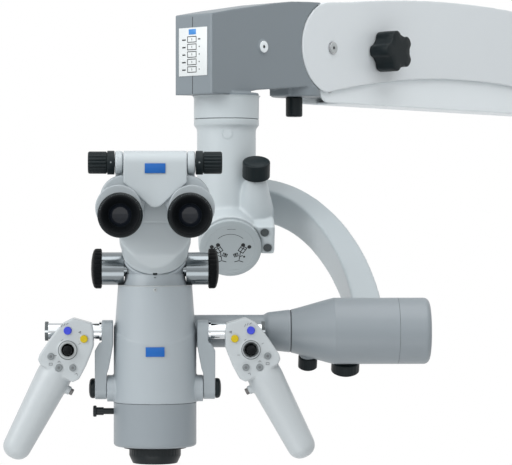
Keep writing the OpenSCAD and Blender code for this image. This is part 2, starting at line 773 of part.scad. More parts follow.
module lug_body() {
  above_tilt(knob_boss_side + knob_boss_r - lug_w, tilt_front - lug_out)
    translate([0, 0, -lug_low])
      cube([lug_w, knob_boss_r + lug_out, lug_h]);
}
module lug_recesses() {
  at_tilt() for (p = lug_screw_shares)
    translate([knob_boss_side + knob_boss_r - lug_w / 2 + p[0] * lug_w, lug_low - p[1] * lug_h,
               tilt_front - lug_out - over])
      cylinder(r = lug_screw_r, h = lug_screw_depth + over);
}
module tilt_plate() {
  ring_r = tilt_plate_r * ring_r_share;
  color(mid_grey) place() at_tilt() translate([0, 0, tilt_front - seam]) rotate([180, 0, 0]) {
    difference() {
      puck(tilt_plate_r, tilt_plate_t, 0, over / 2);
      translate([0, 0, tilt_plate_t - tilt_rim_h]) cylinder(r = ring_r, h = tilt_rim_h + over);
    }
  }
}
module tilt_knob() {
  boss_s = tilt_mid - knob_boss_r * 0.375;
  color(black) place() above_tilt(knob_boss_side, boss_s) translate([0, 0, tilt_knob_up]) {
    puck(tilt_knob_r, tilt_knob_h, 1, 2);
    translate([0, 0, -tilt_knob_stem]) cylinder(r = stem_r, h = tilt_knob_stem + over);
  }
}

// C arm
module c_arm() {
  color(pale) place() difference() {
    union() {
      at_tilt() {
        slab(c_arm_h) polygon(concat(
          quarter(bend_side - tilt_side, bend_w, c_arm_out, 0, 90),
          [[0, c_arm_out], [0, c_arm_in]],
          quarter(bend_side - tilt_side, bend_w - c_arm_t, c_arm_in, 90, 0)));
        translate([0, 0, c_arm_in]) puck(hub_r, c_arm_t, 0, 2);
        translate([0, 0, tilt_front + over])
          cylinder(r = tilt_shaft_r, h = c_arm_in - tilt_front);
      }
    }
    at_pitch() cylinder(r = bottle_r + fit, h = bend_side + 2 * bend_w);
  }
}

// Pitch joint
lock_collar_r = 8.5;
shaft_end_gap = 7;
bar_start = 24.7;
knob_stem_h = 9;
shoulder_shares = [for (i = [0:2 * edge_steps]) i / (2 * edge_steps)];
cap_dome = 2.5;

module pitch_housing() {
  color(mid_grey) place() difference() {
    union() {
      at_pitch() rotate_extrude() polygon(concat(
        [[0, bottle_in + seam]],
        [for (u = shoulder_shares)
          [bottle_neck_r + (bottle_r - bottle_neck_r) * (0.9 * u + 0.1 * (1 - cos(180 * u)) / 2),
           bottle_in + seam + u * shoulder_len]],
        [[bottle_r, cap_seam], [0, cap_seam]]));
      on_bottle(bottle_in + pitch_lock_at) translate([0, 0, pitch_shaft_r + over])
        cylinder(r = lock_collar_r, h = pitch_lock_up - seam - pitch_shaft_r - over);
    }
    at_pitch() translate([0, 0, bottle_in - over])
      cylinder(r = pitch_shaft_r + fit, h = cap_seam - shaft_end_gap - bottle_in + over + seam);
    on_bottle(bottle_in + pitch_lock_at) translate([0, 0, pitch_lock_up - knob_stem_h - over])
      cylinder(r = stem_r + fit, h = knob_stem_h + 2 * over);
    on_bottle(bottle_in + balance_at) translate([0, 0, bottle_r - knob_stem_h - over])
      cylinder(r = stem_r + fit, h = knob_stem_h + 2 * over);
  }
}
module pitch_cap() {
  color(mid_grey) place() at_pitch() translate([0, 0, cap_seam + seam]) rotate_extrude() polygon(concat(
    [[0, 0], [bottle_r, 0]],
    arc([bottle_r - pitch_cap_edge, pitch_cap_len - cap_dome - pitch_cap_edge], pitch_cap_edge, 0, 80,
        edge_steps),
    [[0, pitch_cap_len]]));
}
module pitch_hub() {
  small_r = bottle_neck_r - cap_dome;
  color(mid_grey) place() at_pitch() {
    translate([0, 0, bottle_in - pitch_hub_len]) rotate_extrude() polygon(concat(
      [[0, 0]],
      arc([small_r - pitch_hub_edge, pitch_hub_edge], pitch_hub_edge, -90, 0, edge_steps),
      [[bottle_neck_r, pitch_hub_len], [0, pitch_hub_len]]));
    translate([0, 0, bar_start]) cylinder(r = pitch_bar_r, h = bottle_in - pitch_hub_len - bar_start + over);
    cylinder_from(bottle_in - over, cap_seam - shaft_end_gap, pitch_shaft_r);
  }
}
module cylinder_from(z0, z1, r) { translate([0, 0, z0]) cylinder(r = r, h = z1 - z0); }
module pitch_lock_knob() {
  color(black) place() on_bottle(bottle_in + pitch_lock_at) translate([0, 0, pitch_lock_up]) {
    puck(pitch_lock_r, pitch_lock_h, 1, 2);
    translate([0, 0, -knob_stem_h]) cylinder(r = stem_r, h = knob_stem_h + over);
  }
}
module balance_knob() {
  color(black) place() on_bottle(bottle_in + balance_at) translate([0, 0, bottle_r + seam]) {
    puck(balance_r, balance_h, 1, 3);
    translate([0, 0, -knob_stem_h]) cylinder(r = stem_r, h = knob_stem_h + over);
  }
}

// Body
side_pin_r = 6;
side_boss_reach = body_r + side_boss_out;
side_pin_len = 11.2;
side_pin_reach = side_boss_reach + side_pin_len;
knob_bore_r = 3;
knob_bore_len = 8;
wide_light_r = 21;
objective_spigot_r = 23;
objective_spigot_h = 7;
objective_flange_t = 1.7;
filter_rod_len = 34;
lens_up = 3;

module body_shell() {
  top_h = body_top_z - crease_z;
  reach = 2 * body_r;
  color(pale) place() difference() {
    union() {
      intersection() {
        translate([0, 0, body_seam_z + seam]) cylinder(r = body_r, h = top_h - body_seam_z);
        translate([0, -body_r, crease_z]) rotate([crease_slant, 0, 0])
          translate([-reach, -reach, -2 * reach]) cube([2 * reach, 3 * reach, 2 * reach]);
        translate([-reach, -reach, body_seam_z])
          cube([2 * reach, 2 * reach, body_top_z - body_seam_z - waist_up]);
      }
      translate([0, 0, body_seam_z + waist_up])
        cylinder(r = body_top_r - over, h = body_top_z - body_seam_z - waist_up - over);
      translate([0, 0, crease_z]) cylinder(r1 = body_r - fit, r2 = body_top_r, h = top_h);
      for (s = side_names) on_side(s) translate([0, -bracket_front, -bracket_drop]) rotate([0, 90, 0]) {
        cylinder(r = side_boss_r, h = side_boss_reach);
        cylinder(r = side_pin_r, h = side_pin_reach);
      }
    }
    at_pitch() cylinder_from(bar_start - fit, 2 * body_r, pitch_bar_r + fit);
    translate([0, 0, body_seam_z - over]) cylinder(r = wide_light_r, h = -body_seam_z + over);
    cylinder(r = light_r, h = body_top_z + over);
    for (s = side_names) on_side(s)
      translate([side_pin_reach - knob_bore_len, -bracket_front, -bracket_drop]) rotate([0, 90, 0])
        cylinder(r = knob_bore_r + fit, h = knob_bore_len + over);
  }
}
module lower_housing() {
  color(mid_grey) place() difference() {
    translate([0, 0, body_seam_z - lower_h]) puck(body_r, lower_h, lower_edge, 0);
    translate([0, 0, body_seam_z - lower_h - over]) cylinder(r = wide_light_r, h = lower_h + 2 * over);
    translate([0, 0, body_seam_z - lower_h - over])
      cylinder(r = objective_spigot_r + fit, h = objective_spigot_h + over + seam);
    translate([-body_r - over, 0, -filter_drop]) rotate([0, 90, 0])
      cylinder(r = filter_rod_r + fit, h = body_r + over);
  }
}
module objective_barrel() {
  top = body_seam_z - lower_h - seam;
  color(black) place() difference() {
    translate([0, 0, top - objective_len - objective_flange_t]) {
      puck(objective_r, objective_len + over, objective_edge, 0);
      translate([0, 0, objective_len]) cylinder(r = objective_flange_r, h = objective_flange_t);
      translate([0, 0, objective_len])
        cylinder(r = objective_spigot_r, h = objective_flange_t + objective_spigot_h);
    }
    translate([0, 0, top - objective_len - 2 * objective_flange_t])
      cylinder(r = lens_r + fit, h = objective_len + 3 * objective_flange_t + objective_spigot_h);
  }
}
module objective_lens() {
  z = body_seam_z - lower_h - seam - objective_len - objective_flange_t + lens_up;
  color(glass) place() translate([0, 0, z]) puck(lens_r, lens_t, 1, over / 2);
}
module filter_lever() {
  flare_r = 5.65;
  grip_small_r = 4;
  flare_t = 3.5;
  grip_len_small = 7;
  color(black) place() translate([-filter_reach, 0, -filter_drop]) rotate([0, 90, 0]) {
    puck(flare_r, flare_t, 1, 1);
    cylinder(r = grip_small_r, h = flare_t + grip_len_small);
    cylinder(r = filter_rod_r, h = filter_rod_len);
  }
}

// Magnification changer
knob_dome = 3;
sleeve_gap = 0.3;
knob_shaft_depth = 7;

// Room for the sleeves, about the changer's axle
module sleeve_room() {
  for (s = side_names) on_side(s) translate([sleeve_in - sleeve_gap, 0, body_top_z + axle_up])
    rotate([0, 90, 0]) cylinder(r = sleeve_r + sleeve_gap, h = 2 * body_r);
}
module changer_housing() {
  axle_z = body_top_z + axle_up;
  top_up = 2 * tube_flange_up;
  curve_up = tube_flange_up;
  color(pale) place() difference() {
    union() {
      difference() {
        translate([0, 0, body_top_z]) rotate_extrude() polygon(concat(
          [[0, 0]],
          [for (i = [0:edge_steps]) let(u = 1 - i / edge_steps)
            [waist_r + (changer_foot_r - waist_r) * u * u, waist_up * (1 - u)]],
          [for (i = [1:edge_steps]) let(u = i / edge_steps)
            [waist_r + (changer_top_r - waist_r) * u * u, waist_up + (curve_up - waist_up) * u]],
          [[changer_top_r, top_up], [0, top_up]]));
        at_flange() translate([-2 * body_r, -2 * body_r, -tube_flange_gap / 2])
          cube([4 * body_r, 4 * body_r, 4 * body_r]);
      }
      at_flange() translate([0, 0, -tube_flange_gap / 2 - tube_flange_t])
        puck(tube_flange_r, tube_flange_t, 1, 0);
    }
    translate([0, 0, axle_z]) rotate([0, 90, 0]) {
      cylinder(r = axle_r + fit, h = 4 * body_r, center = true);
      cylinder(r = drum_r + sleeve_gap, h = drum_w + 2 * sleeve_gap, center = true);
    }
    translate([0, 0, body_top_z - over]) cylinder(r = light_r, h = axle_up);
    sleeve_room();
  }
}
module at_flange() {
  translate([0, -tube_flange_front, body_top_z + tube_flange_up]) rotate([45, 0, 0]) children();
}
module mag_axle() {
  half = sleeve_in + sleeve_len + knob_shaft_depth;
  color(chrome) place() translate([0, 0, body_top_z + axle_up]) rotate([0, 90, 0]) {
    difference() {
      union() {
        cylinder(r = axle_r, h = 2 * half, center = true);
        cylinder(r = drum_r, h = drum_w, center = true);
      }
      rotate([0, 90, 0]) cylinder(r = axle_r - over, h = 3 * drum_r, center = true);
    }
    for (s = side_names) translate([0, 0, s * (sleeve_in + sleeve_len / 2)]) difference() {
      cylinder(r = sleeve_r, h = sleeve_len, center = true);
      cylinder(r = axle_r + fit, h = sleeve_len + over, center = true);
    }
  }
}
module mag_knobs() {
  color(black) place() for (s = side_names) on_side(s)
    translate([sleeve_in + sleeve_len + seam, 0, body_top_z + axle_up]) rotate([0, 90, 0]) difference() {
      rotate_extrude() polygon(concat(
        [[0, 0]], arc([mag_knob_r - over, over], over, -90, 0, edge_steps),
        arc([mag_knob_r - 2 * over, mag_knob_len - knob_dome - 2 * over], 2 * over, 0, 60, edge_steps),
        [[0, mag_knob_len]]));
      translate([0, 0, -over]) cylinder(r = axle_r + fit, h = knob_shaft_depth + over + seam);
    }
}

// Binocular tube
casing_top_z = 126;
casing_flare = 12;
web_back = 34;
web_front = 46;
carrier_t = 2.2;
carrier_gap = 0.3;
pivot_pin_r = 6;
lens_gap = 3;
carrier_shares = [[0.42, -0.05], [0.78, 0.08], [1.25, 0.28], [1.25, 0.85], [0.98, 1.08], [0.98, 1.75]];

module ears() {
  for (s = side_names) translate([s * (bar_half + seam + ear_t / 2), 0, 0])
    rotate([90, 0, 90]) linear_extrude(ear_t, center = true) {
      translate([-bar_front, bar_z]) circle(r = bar_r);
      polygon([[-web_front, casing_top_z - 2 * bar_r], [-web_back, casing_top_z - 2 * bar_r],
               [-web_back, bar_z - bar_r * 0.6], [-web_front, bar_z + bar_r * 0.7],
               [-bar_front, bar_z + bar_r], [-bar_front, bar_z - bar_r * 0.9],
               [-web_front, bar_z - bar_r * 0.9]]);
    }
}
module tube_base() {
  foot_z = body_top_z + tube_flange_up - tube_flange_r * sin(45);
  color(pale) place() difference() {
    union() {
      at_flange() {
        translate([0, 0, tube_flange_gap / 2]) puck(tube_flange_r, tube_flange_t, 0, 1);
        translate([0, 0, -tube_flange_gap / 2])
          cylinder(r = tube_flange_r - 2 * over, h = tube_flange_gap + over);
      }
      difference() {
        intersection() {
          rotate([90, 0, 90]) linear_extrude(casing_w, center = true)
            polygon([[-web_front, foot_z + tube_flange_r * 0.6],
                     [-web_front + 2 * over, casing_top_z - 3 * over],
                     [-web_front + 5 * over, casing_top_z],
                     [-web_front + casing_d * 0.55, casing_top_z - over],
                     [-web_front + casing_d * 0.8, casing_top_z - 8 * over],
                     [-web_front + casing_d, casing_top_z - casing_h * 0.3],
                     [-web_front + casing_d, foot_z], [-web_front + casing_d * 0.2, foot_z]]);
          rotate([90, 0, 0]) linear_extrude(4 * casing_d, center = true)
            polygon([[-tube_flange_r + over, foot_z], [tube_flange_r - over, foot_z],
                     [casing_w / 2, foot_z + casing_h * 0.5], [casing_w / 2, casing_top_z],
                     [-casing_w / 2, casing_top_z], [-casing_w / 2, foot_z + casing_h * 0.5]]);
          at_flange() translate([0, 0, (tube_flange_gap + tube_flange_t) / 2])
            cylinder(r1 = tube_flange_r - over, r2 = tube_flange_r + tan(casing_flare) * 2 * casing_h,
                     h = 2 * casing_h);
        }
        at_flange()
          translate([-2 * casing_w, -2 * casing_w, tube_flange_gap / 2 + tube_flange_t / 2 - 4 * casing_w])
          cube([4 * casing_w, 4 * casing_w, 4 * casing_w]);
      }
      ears();
    }
    translate([0, -bar_front, bar_z]) rotate([0, 90, 0])
      cylinder(r = pd_spindle_r + fit, h = 2 * casing_w, center = true);
    sleeve_room();
  }
}
module tube_cover() {
  back = prism_front - carrier_gap;
  pivot_z = bar_z - prism_drop;
  plate = concat([for (p = carrier_shares) [p[0], p[1]]],
                 [for (i = [len(carrier_shares) - 1:-1:0]) [-carrier_shares[i][0], carrier_shares[i][1]]]);
  color(pale) place() {
    difference() {
      union() {
        translate([0, -bar_front, bar_z]) rotate([0, 90, 0])
          cylinder(r = bar_r, h = 2 * bar_half, center = true);
        translate([0, -bar_front - bar_r + shield_t / 2, 0]) rotate([90, 0, 0])
          linear_extrude(shield_t, center = true)
            polygon([[-bar_half, bar_z], [bar_half, bar_z], [bar_half, bar_z - 1.7 * bar_r],
                     [bar_half * 0.16, bar_z - 3.65 * bar_r], [0, bar_z - 3.75 * bar_r],
                     [-bar_half * 0.16, bar_z - 3.65 * bar_r], [-bar_half, bar_z - 1.7 * bar_r]]);
        translate([-bar_half, -bar_front, bar_z - bar_r + over])
          cube([2 * bar_half, bar_front - back + carrier_t, bar_r * 0.7]);
        translate([0, -back + carrier_t / 2, pivot_z - prism_r]) rotate([90, 0, 0])
          linear_extrude(carrier_t, center = true)
            polygon(scaled(plate, prism_side, prism_r));
        for (s = side_names) translate([s * prism_side, -back + carrier_t / 2, pivot_z]) rotate([90, 0, 0])
          cylinder(r = pivot_pin_r, h = prism_d - 2 * over);
      }
      translate([0, -bar_front, bar_z]) rotate([0, 90, 0])
        cylinder(r = pd_spindle_r + fit, h = 2 * casing_w, center = true);
    }
  }
}
// Frames of a prism pivot and of an eyepiece: Z towards the viewer
module at_prism(side) {
  on_side(side) translate([prism_side, 0, bar_z - prism_drop]) rotate([90, 0, 0]) children();
}
module at_eye(side) {
  on_side(side) translate([eye_side, 0, bar_z - prism_drop - eye_drop]) rotate([90, 0, 0]) children();
}
prism_nose = prism_front + prism_d;
collar_at = bar_front + bar_r + shield_t - over / 2;
barrel_depth = 10;
dioptre_at = collar_at + collar_len + 2 * over;
eyecup_at = dioptre_at + dioptre_len + seam;
barrel_end = eyecup_at + eyecup_len * 0.36;
barrel_wall = 3.5;
cup_mouth_r = 17.8;

module prism_housing(side) {
  color(pale) place() difference() {
    union() {
      at_prism(side) translate([0, 0, prism_front]) puck(prism_r, prism_d, over, 2 * over);
      at_eye(side) {
        cylinder_from(prism_front + prism_d / 3, collar_at + collar_len - over, prism_neck_r);
        translate([collar_side, collar_up, collar_at]) puck(collar_r, collar_len, over, over / 2);
      }
    }
    at_prism(side) cylinder_from(0, prism_nose - over, pivot_pin_r + fit);
    at_eye(side) cylinder_from(collar_at + collar_len - barrel_depth - seam, 2 * collar_at, barrel_r + fit);
  }
}
module eyepiece(side) {
  color(black) place() at_eye(side) {
    difference() {
      cylinder_from(collar_at + collar_len - barrel_depth, barrel_end, barrel_r);
      cylinder_from(collar_at + collar_len - barrel_depth - over, barrel_end + over, barrel_r - barrel_wall);
    }
    cylinder_from(barrel_end - 3 * lens_gap, barrel_end - 2 * lens_gap, barrel_r - barrel_wall - fit / 2);
  }
}
module dioptre_ring(side) {
  color(black) place() at_eye(side) difference() {
    translate([0, 0, dioptre_at]) puck(dioptre_r, dioptre_len, over / 2, over / 2);
    cylinder_from(dioptre_at - over, eyecup_at + over, barrel_r + fit);
  }
}
module eyecup(side) {
  color(black) place() at_eye(side) difference() {
    translate([0, 0, eyecup_at]) puck(eyecup_r, eyecup_len, over, over / 2);
    cylinder_from(eyecup_at - over, barrel_end + fit, barrel_r + fit);
    translate([0, 0, barrel_end])
      cylinder(r1 = barrel_r - barrel_wall, r2 = cup_mouth_r, h = eyecup_at + eyecup_len - barrel_end + fit);
  }
}
module pd_knobs() {
  ring_at = bar_half + seam + ear_t + seam;
  color(black) place() translate([0, -bar_front, bar_z]) rotate([0, 90, 0]) {
    cylinder(r = pd_spindle_r, h = 2 * ring_at + pd_ring_len, center = true);
    for (s = side_names) translate([0, 0, s * ring_at]) mirror([0, 0, s < 0 ? 1 : 0]) {
      cylinder(r = bar_r, h = pd_ring_len);
      translate([0, 0, pd_ring_len]) linear_extrude(pd_knob_len) difference() {
        circle(r = pd_knob_r);
        for (i = [0:pd_ribs - 1])
          rotate(360 * i / pd_ribs) translate([pd_knob_r + over / 2, 0]) circle(r = over);
      }
    }
  }
}
module prism_housing_left() { prism_housing(-1); }
module prism_housing_right() { prism_housing(1); }
module eyepiece_left() { eyepiece(-1); }
module eyepiece_right() { eyepiece(1); }
module dioptre_ring_left() { dioptre_ring(-1); }
module dioptre_ring_right() { dioptre_ring(1); }
module eyecup_left() { eyecup(-1); }
module eyecup_right() { eyecup(1); }

// Handles
bracket_gap = 0.5;
bracket_in = body_r + bracket_gap;
bracket_out = bracket_in + bracket_w;
spigot_r = 6;
spigot_len = 10;
shaft_start = bracket_in + bracket_w * 0.63;
shaft_reach = body_r + shaft_out;
left_handle_at = body_r + left_handle_out;
right_handle_at = body_r + right_handle_out;
collar_shaft_r = 9.5;
collar_shaft_t = 2.2;
bracket_knob_r = 10;
bracket_knob_h = 5.8;
button_depth = 4;
button_travel = 1.5;
joystick_pocket_r = 7.5;
joystick_pocket_d = 6;
joystick_foot_r = 4;
joystick_stem_r = 2.2;
joystick_out = 7;
joystick_pin_r = 1.2;
joystick_pin_len = 11;
ring_h = 1.5;
trigger_at = 52;
trigger_collar_r = 4.15;
trigger_collar_out = 28;
trigger_out = 32.4;
trigger_depth = 12;
grip_edge = 12.5;
grip_start_shares = [[0.74, 0.17], [0.92, 0.24], [0.99, 0.31], [1, 0.36]];
head_shares = [[-0.091, 0.213], [0.109, 0.126], [0.310, -0.094], [0.511, -0.354], [0.538, -0.433],
               [0.493, -0.513], [-0.091, -0.787], [-0.201, -0.740], [-0.319, -0.551], [-0.407, -0.362],
               [-0.462, -0.236], [-0.462, 0], [-0.438, 0.126]];
joystick_share = [0, -0.285];
blue_share = [0, 0.017];
yellow_share = [-0.292, -0.112];
grey_shares = [[0.303, -0.383], [0.157, -0.556], [-0.091, -0.561]];

module bracket(side) {
  inner = side_boss_reach + seam;
  color(pale) place() on_side(side) difference() {
    intersection() {
      rotate([90, 0, 0]) linear_extrude(6 * bracket_r, center = true)
        polygon([[bracket_in, bracket_r], [shaft_start - seam, bracket_r],
                 [shaft_start - seam, -bracket_drop * 0.19],
                 [bracket_in + bracket_w * 0.78, -bracket_drop * 0.216],
                 [bracket_out, -bracket_drop * 0.34], [bracket_out, -bracket_drop - bracket_r],
                 [inner, -bracket_drop - bracket_r], [inner, -bracket_drop + side_boss_r + over],
                 [bracket_in + bracket_w * 0.25, -bracket_drop * 0.663],
                 [bracket_in, -bracket_drop * 0.241]]);
      rotate([90, 0, 90]) linear_extrude(2 * bracket_out) {
        translate([-bracket_front, -bracket_drop]) circle(r = bracket_r);
        translate([-shaft_front, 0]) circle(r = bracket_r);
        polygon([[-bracket_front - bracket_r, -bracket_drop], [-bracket_front + bracket_r, -bracket_drop],
                 [-shaft_front + bracket_r, 0], [-shaft_front - bracket_r, 0]]);
      }
    }
    translate([0, -bracket_front, -bracket_drop]) rotate([0, 90, 0])
      cylinder(r = side_pin_r + fit, h = 2 * bracket_out);
    translate([shaft_start - spigot_len - seam, -shaft_front, 0]) rotate([0, 90, 0])
      cylinder(r = spigot_r + fit, h = bracket_out);
  }
}
module bracket_knob(side) {
  color(black) place() on_side(side) translate([bracket_out + seam, -bracket_front, -bracket_drop])
    rotate([0, 90, 0]) {
      puck(bracket_knob_r, bracket_knob_h, 0, 3 * over);
      translate([0, 0, side_pin_reach - bracket_out - seam - knob_bore_len + over])
        cylinder(r = knob_bore_r, h = bracket_out + knob_bore_len - side_pin_reach);
    }
}
module handle_shaft(side) {
  color(chrome) place() on_side(side) translate([0, -shaft_front, 0]) rotate([0, 90, 0]) {
    cylinder_from(shaft_start, shaft_reach, shaft_r);
    cylinder_from(shaft_start, shaft_start + collar_shaft_t, collar_shaft_r);
    cylinder_from(shaft_start - spigot_len, shaft_start + over, spigot_r);
  }
}
// Frame of a handle: X outward from its joystick, Z up from the shaft
module at_handle(side) {
  at = side < 0 ? left_handle_at : right_handle_at;
  on_side(side) translate([at, -handle_front, 0]) children();
}
// Frame of a control on the handle's face: Z towards the viewer
module on_face(share) {
  translate([share[0] * handle_w, -handle_t / 2, share[1] * handle_h]) rotate([90, 0, 0]) children();
}
module at_grip() { rotate([0, 180 - grip_lean, 0]) translate([grip_offset, 0, 0]) children(); }
module handle(side) {
  hole = [0, 0, -button_depth - button_travel];
  color(pale) place() at_handle(side) difference() {
    union() {
      rotate([90, 0, 0]) linear_extrude(handle_t, center = true)
        polygon(scaled(head_shares, handle_w, handle_h));
      at_grip() rotate_extrude() polygon(concat(
        [[0, grip_start_shares[0][1] * grip_len]],
        [for (p = grip_start_shares) [p[0] * grip_r, p[1] * grip_len]],
        arc([grip_end_r - grip_edge, grip_len - grip_edge], grip_edge, 0, 90, edge_steps),
        [[0, grip_len]]));
      on_face(joystick_share) cylinder(r = joystick_ring_r, h = ring_h);
      at_grip() translate([0, 0, trigger_at]) rotate([0, 90, 0])
        cylinder(r = trigger_collar_r, h = trigger_collar_out - grip_offset);
    }
    translate([0, handle_front - shaft_front, 0]) rotate([0, 90, 0])
      cylinder(r = shaft_r + fit, h = 2 * handle_w, center = true);
    on_face(joystick_share) translate([0, 0, -joystick_pocket_d])
      cylinder(r = joystick_pocket_r, h = joystick_pocket_d + 2 * ring_h);
    on_face(blue_share) translate(hole) cylinder(r = button_r + fit, h = 2 * button_depth);
    on_face(yellow_share) translate(hole) cylinder(r = yellow_r + fit, h = 2 * button_depth);
    for (p = grey_shares) on_face(p) translate(hole) cylinder(r = grey_r + fit, h = 2 * button_depth);
    at_grip() translate([trigger_collar_out - grip_offset - trigger_depth, 0, trigger_at]) rotate([0, 90, 0])
      cylinder(r = trigger_r + fit, h = trigger_depth + over);
  }
}
module joystick(side) {
  color(black) place() at_handle(side) on_face(joystick_share) {
    translate([0, 0, joystick_foot_r - joystick_pocket_d + fit]) sphere(r = joystick_foot_r, $fn = 48);
    translate([0, 0, joystick_foot_r - joystick_pocket_d])
      cylinder(r = joystick_stem_r, h = joystick_out + joystick_pocket_d - joystick_foot_r);
    translate([0, 0, joystick_foot_r - joystick_pocket_d]) rotate([0, 90, 0])
      cylinder(r = joystick_pin_r, h = joystick_pin_len, center = true);
    translate([0, 0, joystick_out]) sphere(r = joystick_ball_r, $fn = 48);
  }
}
module button(side, share, r, shade) {
  color(shade) place() at_handle(side) on_face(share) translate([0, 0, -button_depth])
    puck(r, button_depth + button_h, 0, over / 2);
}
module trigger(side) {
  color(brown) place() at_handle(side) at_grip()
    translate([trigger_collar_out - grip_offset - trigger_depth + 3 * over, 0, trigger_at])
      rotate([0, 90, 0])
        puck(trigger_r, trigger_out - trigger_collar_out + trigger_depth - 3 * over, 0, over);
}
module left_bracket() { bracket(-1); }
module left_bracket_knob() { bracket_knob(-1); }
module left_handle_shaft() { handle_shaft(-1); }
module left_handle() { handle(-1); }
module left_joystick() { joystick(-1); }
module left_blue_button() { button(-1, blue_share, button_r, blue); }
module left_yellow_button() { button(-1, yellow_share, yellow_r, yellow); }
module left_grey_button_1() { button(-1, grey_shares[0], grey_r, grey); }
module left_grey_button_2() { button(-1, grey_shares[1], grey_r, grey); }
module left_grey_button_3() { button(-1, grey_shares[2], grey_r, grey); }
module left_trigger() { trigger(-1); }
module right_bracket() { bracket(1); }
module right_bracket_knob() { bracket_knob(1); }
module right_handle_shaft() { handle_shaft(1); }
module right_handle() { handle(1); }
module right_joystick() { joystick(1); }
module right_blue_button() { button(1, blue_share, button_r, blue); }
module right_yellow_button() { button(1, yellow_share, yellow_r, yellow); }
module right_grey_button_1() { button(1, grey_shares[0], grey_r, grey); }
module right_grey_button_2() { button(1, grey_shares[1], grey_r, grey); }
module right_grey_button_3() { button(1, grey_shares[2], grey_r, grey); }
module right_trigger() { trigger(1); }

rear_knuckle();
rear_pins();
front_pins();
upper_link();
lower_link();
arm_cover();
gas_spring();
lift_knob();
arm_head();
swivel_lock_knob();
neck_column();
tilt_plate();
tilt_knob();
c_arm();
pitch_housing();
pitch_cap();
pitch_hub();
pitch_lock_knob();
balance_knob();
changer_housing();
mag_axle();
mag_knobs();
body_shell();
lower_housing();
objective_barrel();
objective_lens();
filter_lever();
tube_base();
tube_cover();
prism_housing_left();
prism_housing_right();
pd_knobs();
eyepiece_left();
eyepiece_right();
dioptre_ring_left();
dioptre_ring_right();
eyecup_left();
eyecup_right();
left_bracket();
left_bracket_knob();
left_handle_shaft();
left_handle();
left_joystick();
left_blue_button();
left_yellow_button();
left_grey_button_1();
left_grey_button_2();
left_grey_button_3();
left_trigger();
right_bracket();
right_bracket_knob();
right_handle_shaft();
right_handle();
right_joystick();
right_blue_button();
right_yellow_button();
right_grey_button_1();
right_grey_button_2();
right_grey_button_3();
right_trigger();
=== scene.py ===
# Looks of the surgical microscope: finishes, softened castings and fine detail.
# Lengths are in millimetres, and MM turns them into the frame's metres.
import json
import math

import bmesh
import bpy
from mathutils import Matrix, Vector


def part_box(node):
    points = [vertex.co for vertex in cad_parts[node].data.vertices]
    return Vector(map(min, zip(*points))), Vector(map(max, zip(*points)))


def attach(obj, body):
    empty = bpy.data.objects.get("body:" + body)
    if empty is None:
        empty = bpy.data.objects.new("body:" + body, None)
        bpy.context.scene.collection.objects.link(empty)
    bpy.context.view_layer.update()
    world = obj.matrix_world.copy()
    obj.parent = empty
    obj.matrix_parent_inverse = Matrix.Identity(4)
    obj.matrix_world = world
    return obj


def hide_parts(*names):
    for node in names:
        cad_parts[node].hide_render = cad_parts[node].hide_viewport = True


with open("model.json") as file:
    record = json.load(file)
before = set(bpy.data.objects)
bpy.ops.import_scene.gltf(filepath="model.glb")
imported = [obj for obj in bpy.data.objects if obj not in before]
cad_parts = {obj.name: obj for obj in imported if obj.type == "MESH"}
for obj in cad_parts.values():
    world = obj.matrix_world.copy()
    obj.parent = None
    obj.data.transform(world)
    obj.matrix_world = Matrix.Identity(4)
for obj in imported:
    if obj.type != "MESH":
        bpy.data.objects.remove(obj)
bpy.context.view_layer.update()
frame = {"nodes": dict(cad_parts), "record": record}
nodes = frame["nodes"]
joints = {j["name"]: j for j in frame["record"]["behaviour"]["joints"]}

MM = 0.001
SIDES = ((-1, "left"), (1, "right"))
UP = (0, 0, 1)
RIGHT = (1, 0, 0)
FRONT = (0, -1, 0)

# Mesh steps
ROUND = 96          # sides of a turned piece
QUARTER_STEPS = 4   # steps of a rounded edge
EDGE_ANGLE = 35.0   # edges sharper than this, in degrees, stay sharp
WELD = 2e-6         # points of a CAD mesh nearer than this, in metres, become one

# Places that the part's source also has
PITCH_BACK = 28.0     # the pitch axis, behind the optical axis
PITCH_LOW = 1.7       # and below the point that places are counted from
TILT_SIDE = 81.0      # the side tilt's axis, right of the optical axis
TILT_RISE = math.radians(27.0)
HUB_FRONT = 280.97    # the front of the C-arm's hub, along the side tilt's axis
SHAFT_REACH = 17      # more than the radius of the C-arm's shaft
HUB_REACH = 31        # more than the radius of its hub's face
NECK_BACK = 228       # the swivel axis, behind the optical axis
HEAD_FRONT = 53       # the arm head's face, in front of the swivel axis
ARM_HALF = 27.0       # half the spring arm's width
UPPER_PIVOT = 84.8    # the upper pivots' height above the swivel seam
FRONT_PIVOT = 148     # the arm's two pairs of pivots, from the swivel axis
REAR_PIVOT = 648
LIFT_KNOB = 236.3     # the lift knob, from the swivel axis
DIAL_PLACE = 181.6    # the tilt plate, along the side tilt's axis
EYE_SIDE = 33.45      # the eyepieces' axes, beside the optical axis
EYE_HEIGHT = 114.6
PD_BAR = (0, -70, 165.8)   # the middle of the pupil distance knobs' spindle
HANDLE_FACE = -27.0   # the handles' front


def joint_pos(name):
    return Vector(joints[name]["pos_m"])


OPTICAL = joint_pos("changer_turn")
CENTRE = Vector((OPTICAL.x, OPTICAL.y, joint_pos("pitch").z + PITCH_LOW * MM))
NEAR = Vector(joints["arm_lift"]["axis"])


def at(x, y, z):
    """A place beside the optical axis, in millimetres, as a point of the frame."""
    return CENTRE + Vector((x, y, z)) * MM


def axes(origin, x_dir, z_dir):
    """A matrix at origin whose X and Z point these ways."""
    z = Vector(z_dir).normalized()
    x = Vector(x_dir)
    x = (x - x.dot(z) * z).normalized()
    y = z.cross(x)
    m = Matrix((x, y, z)).transposed().to_4x4()
    m.translation = origin
    return m


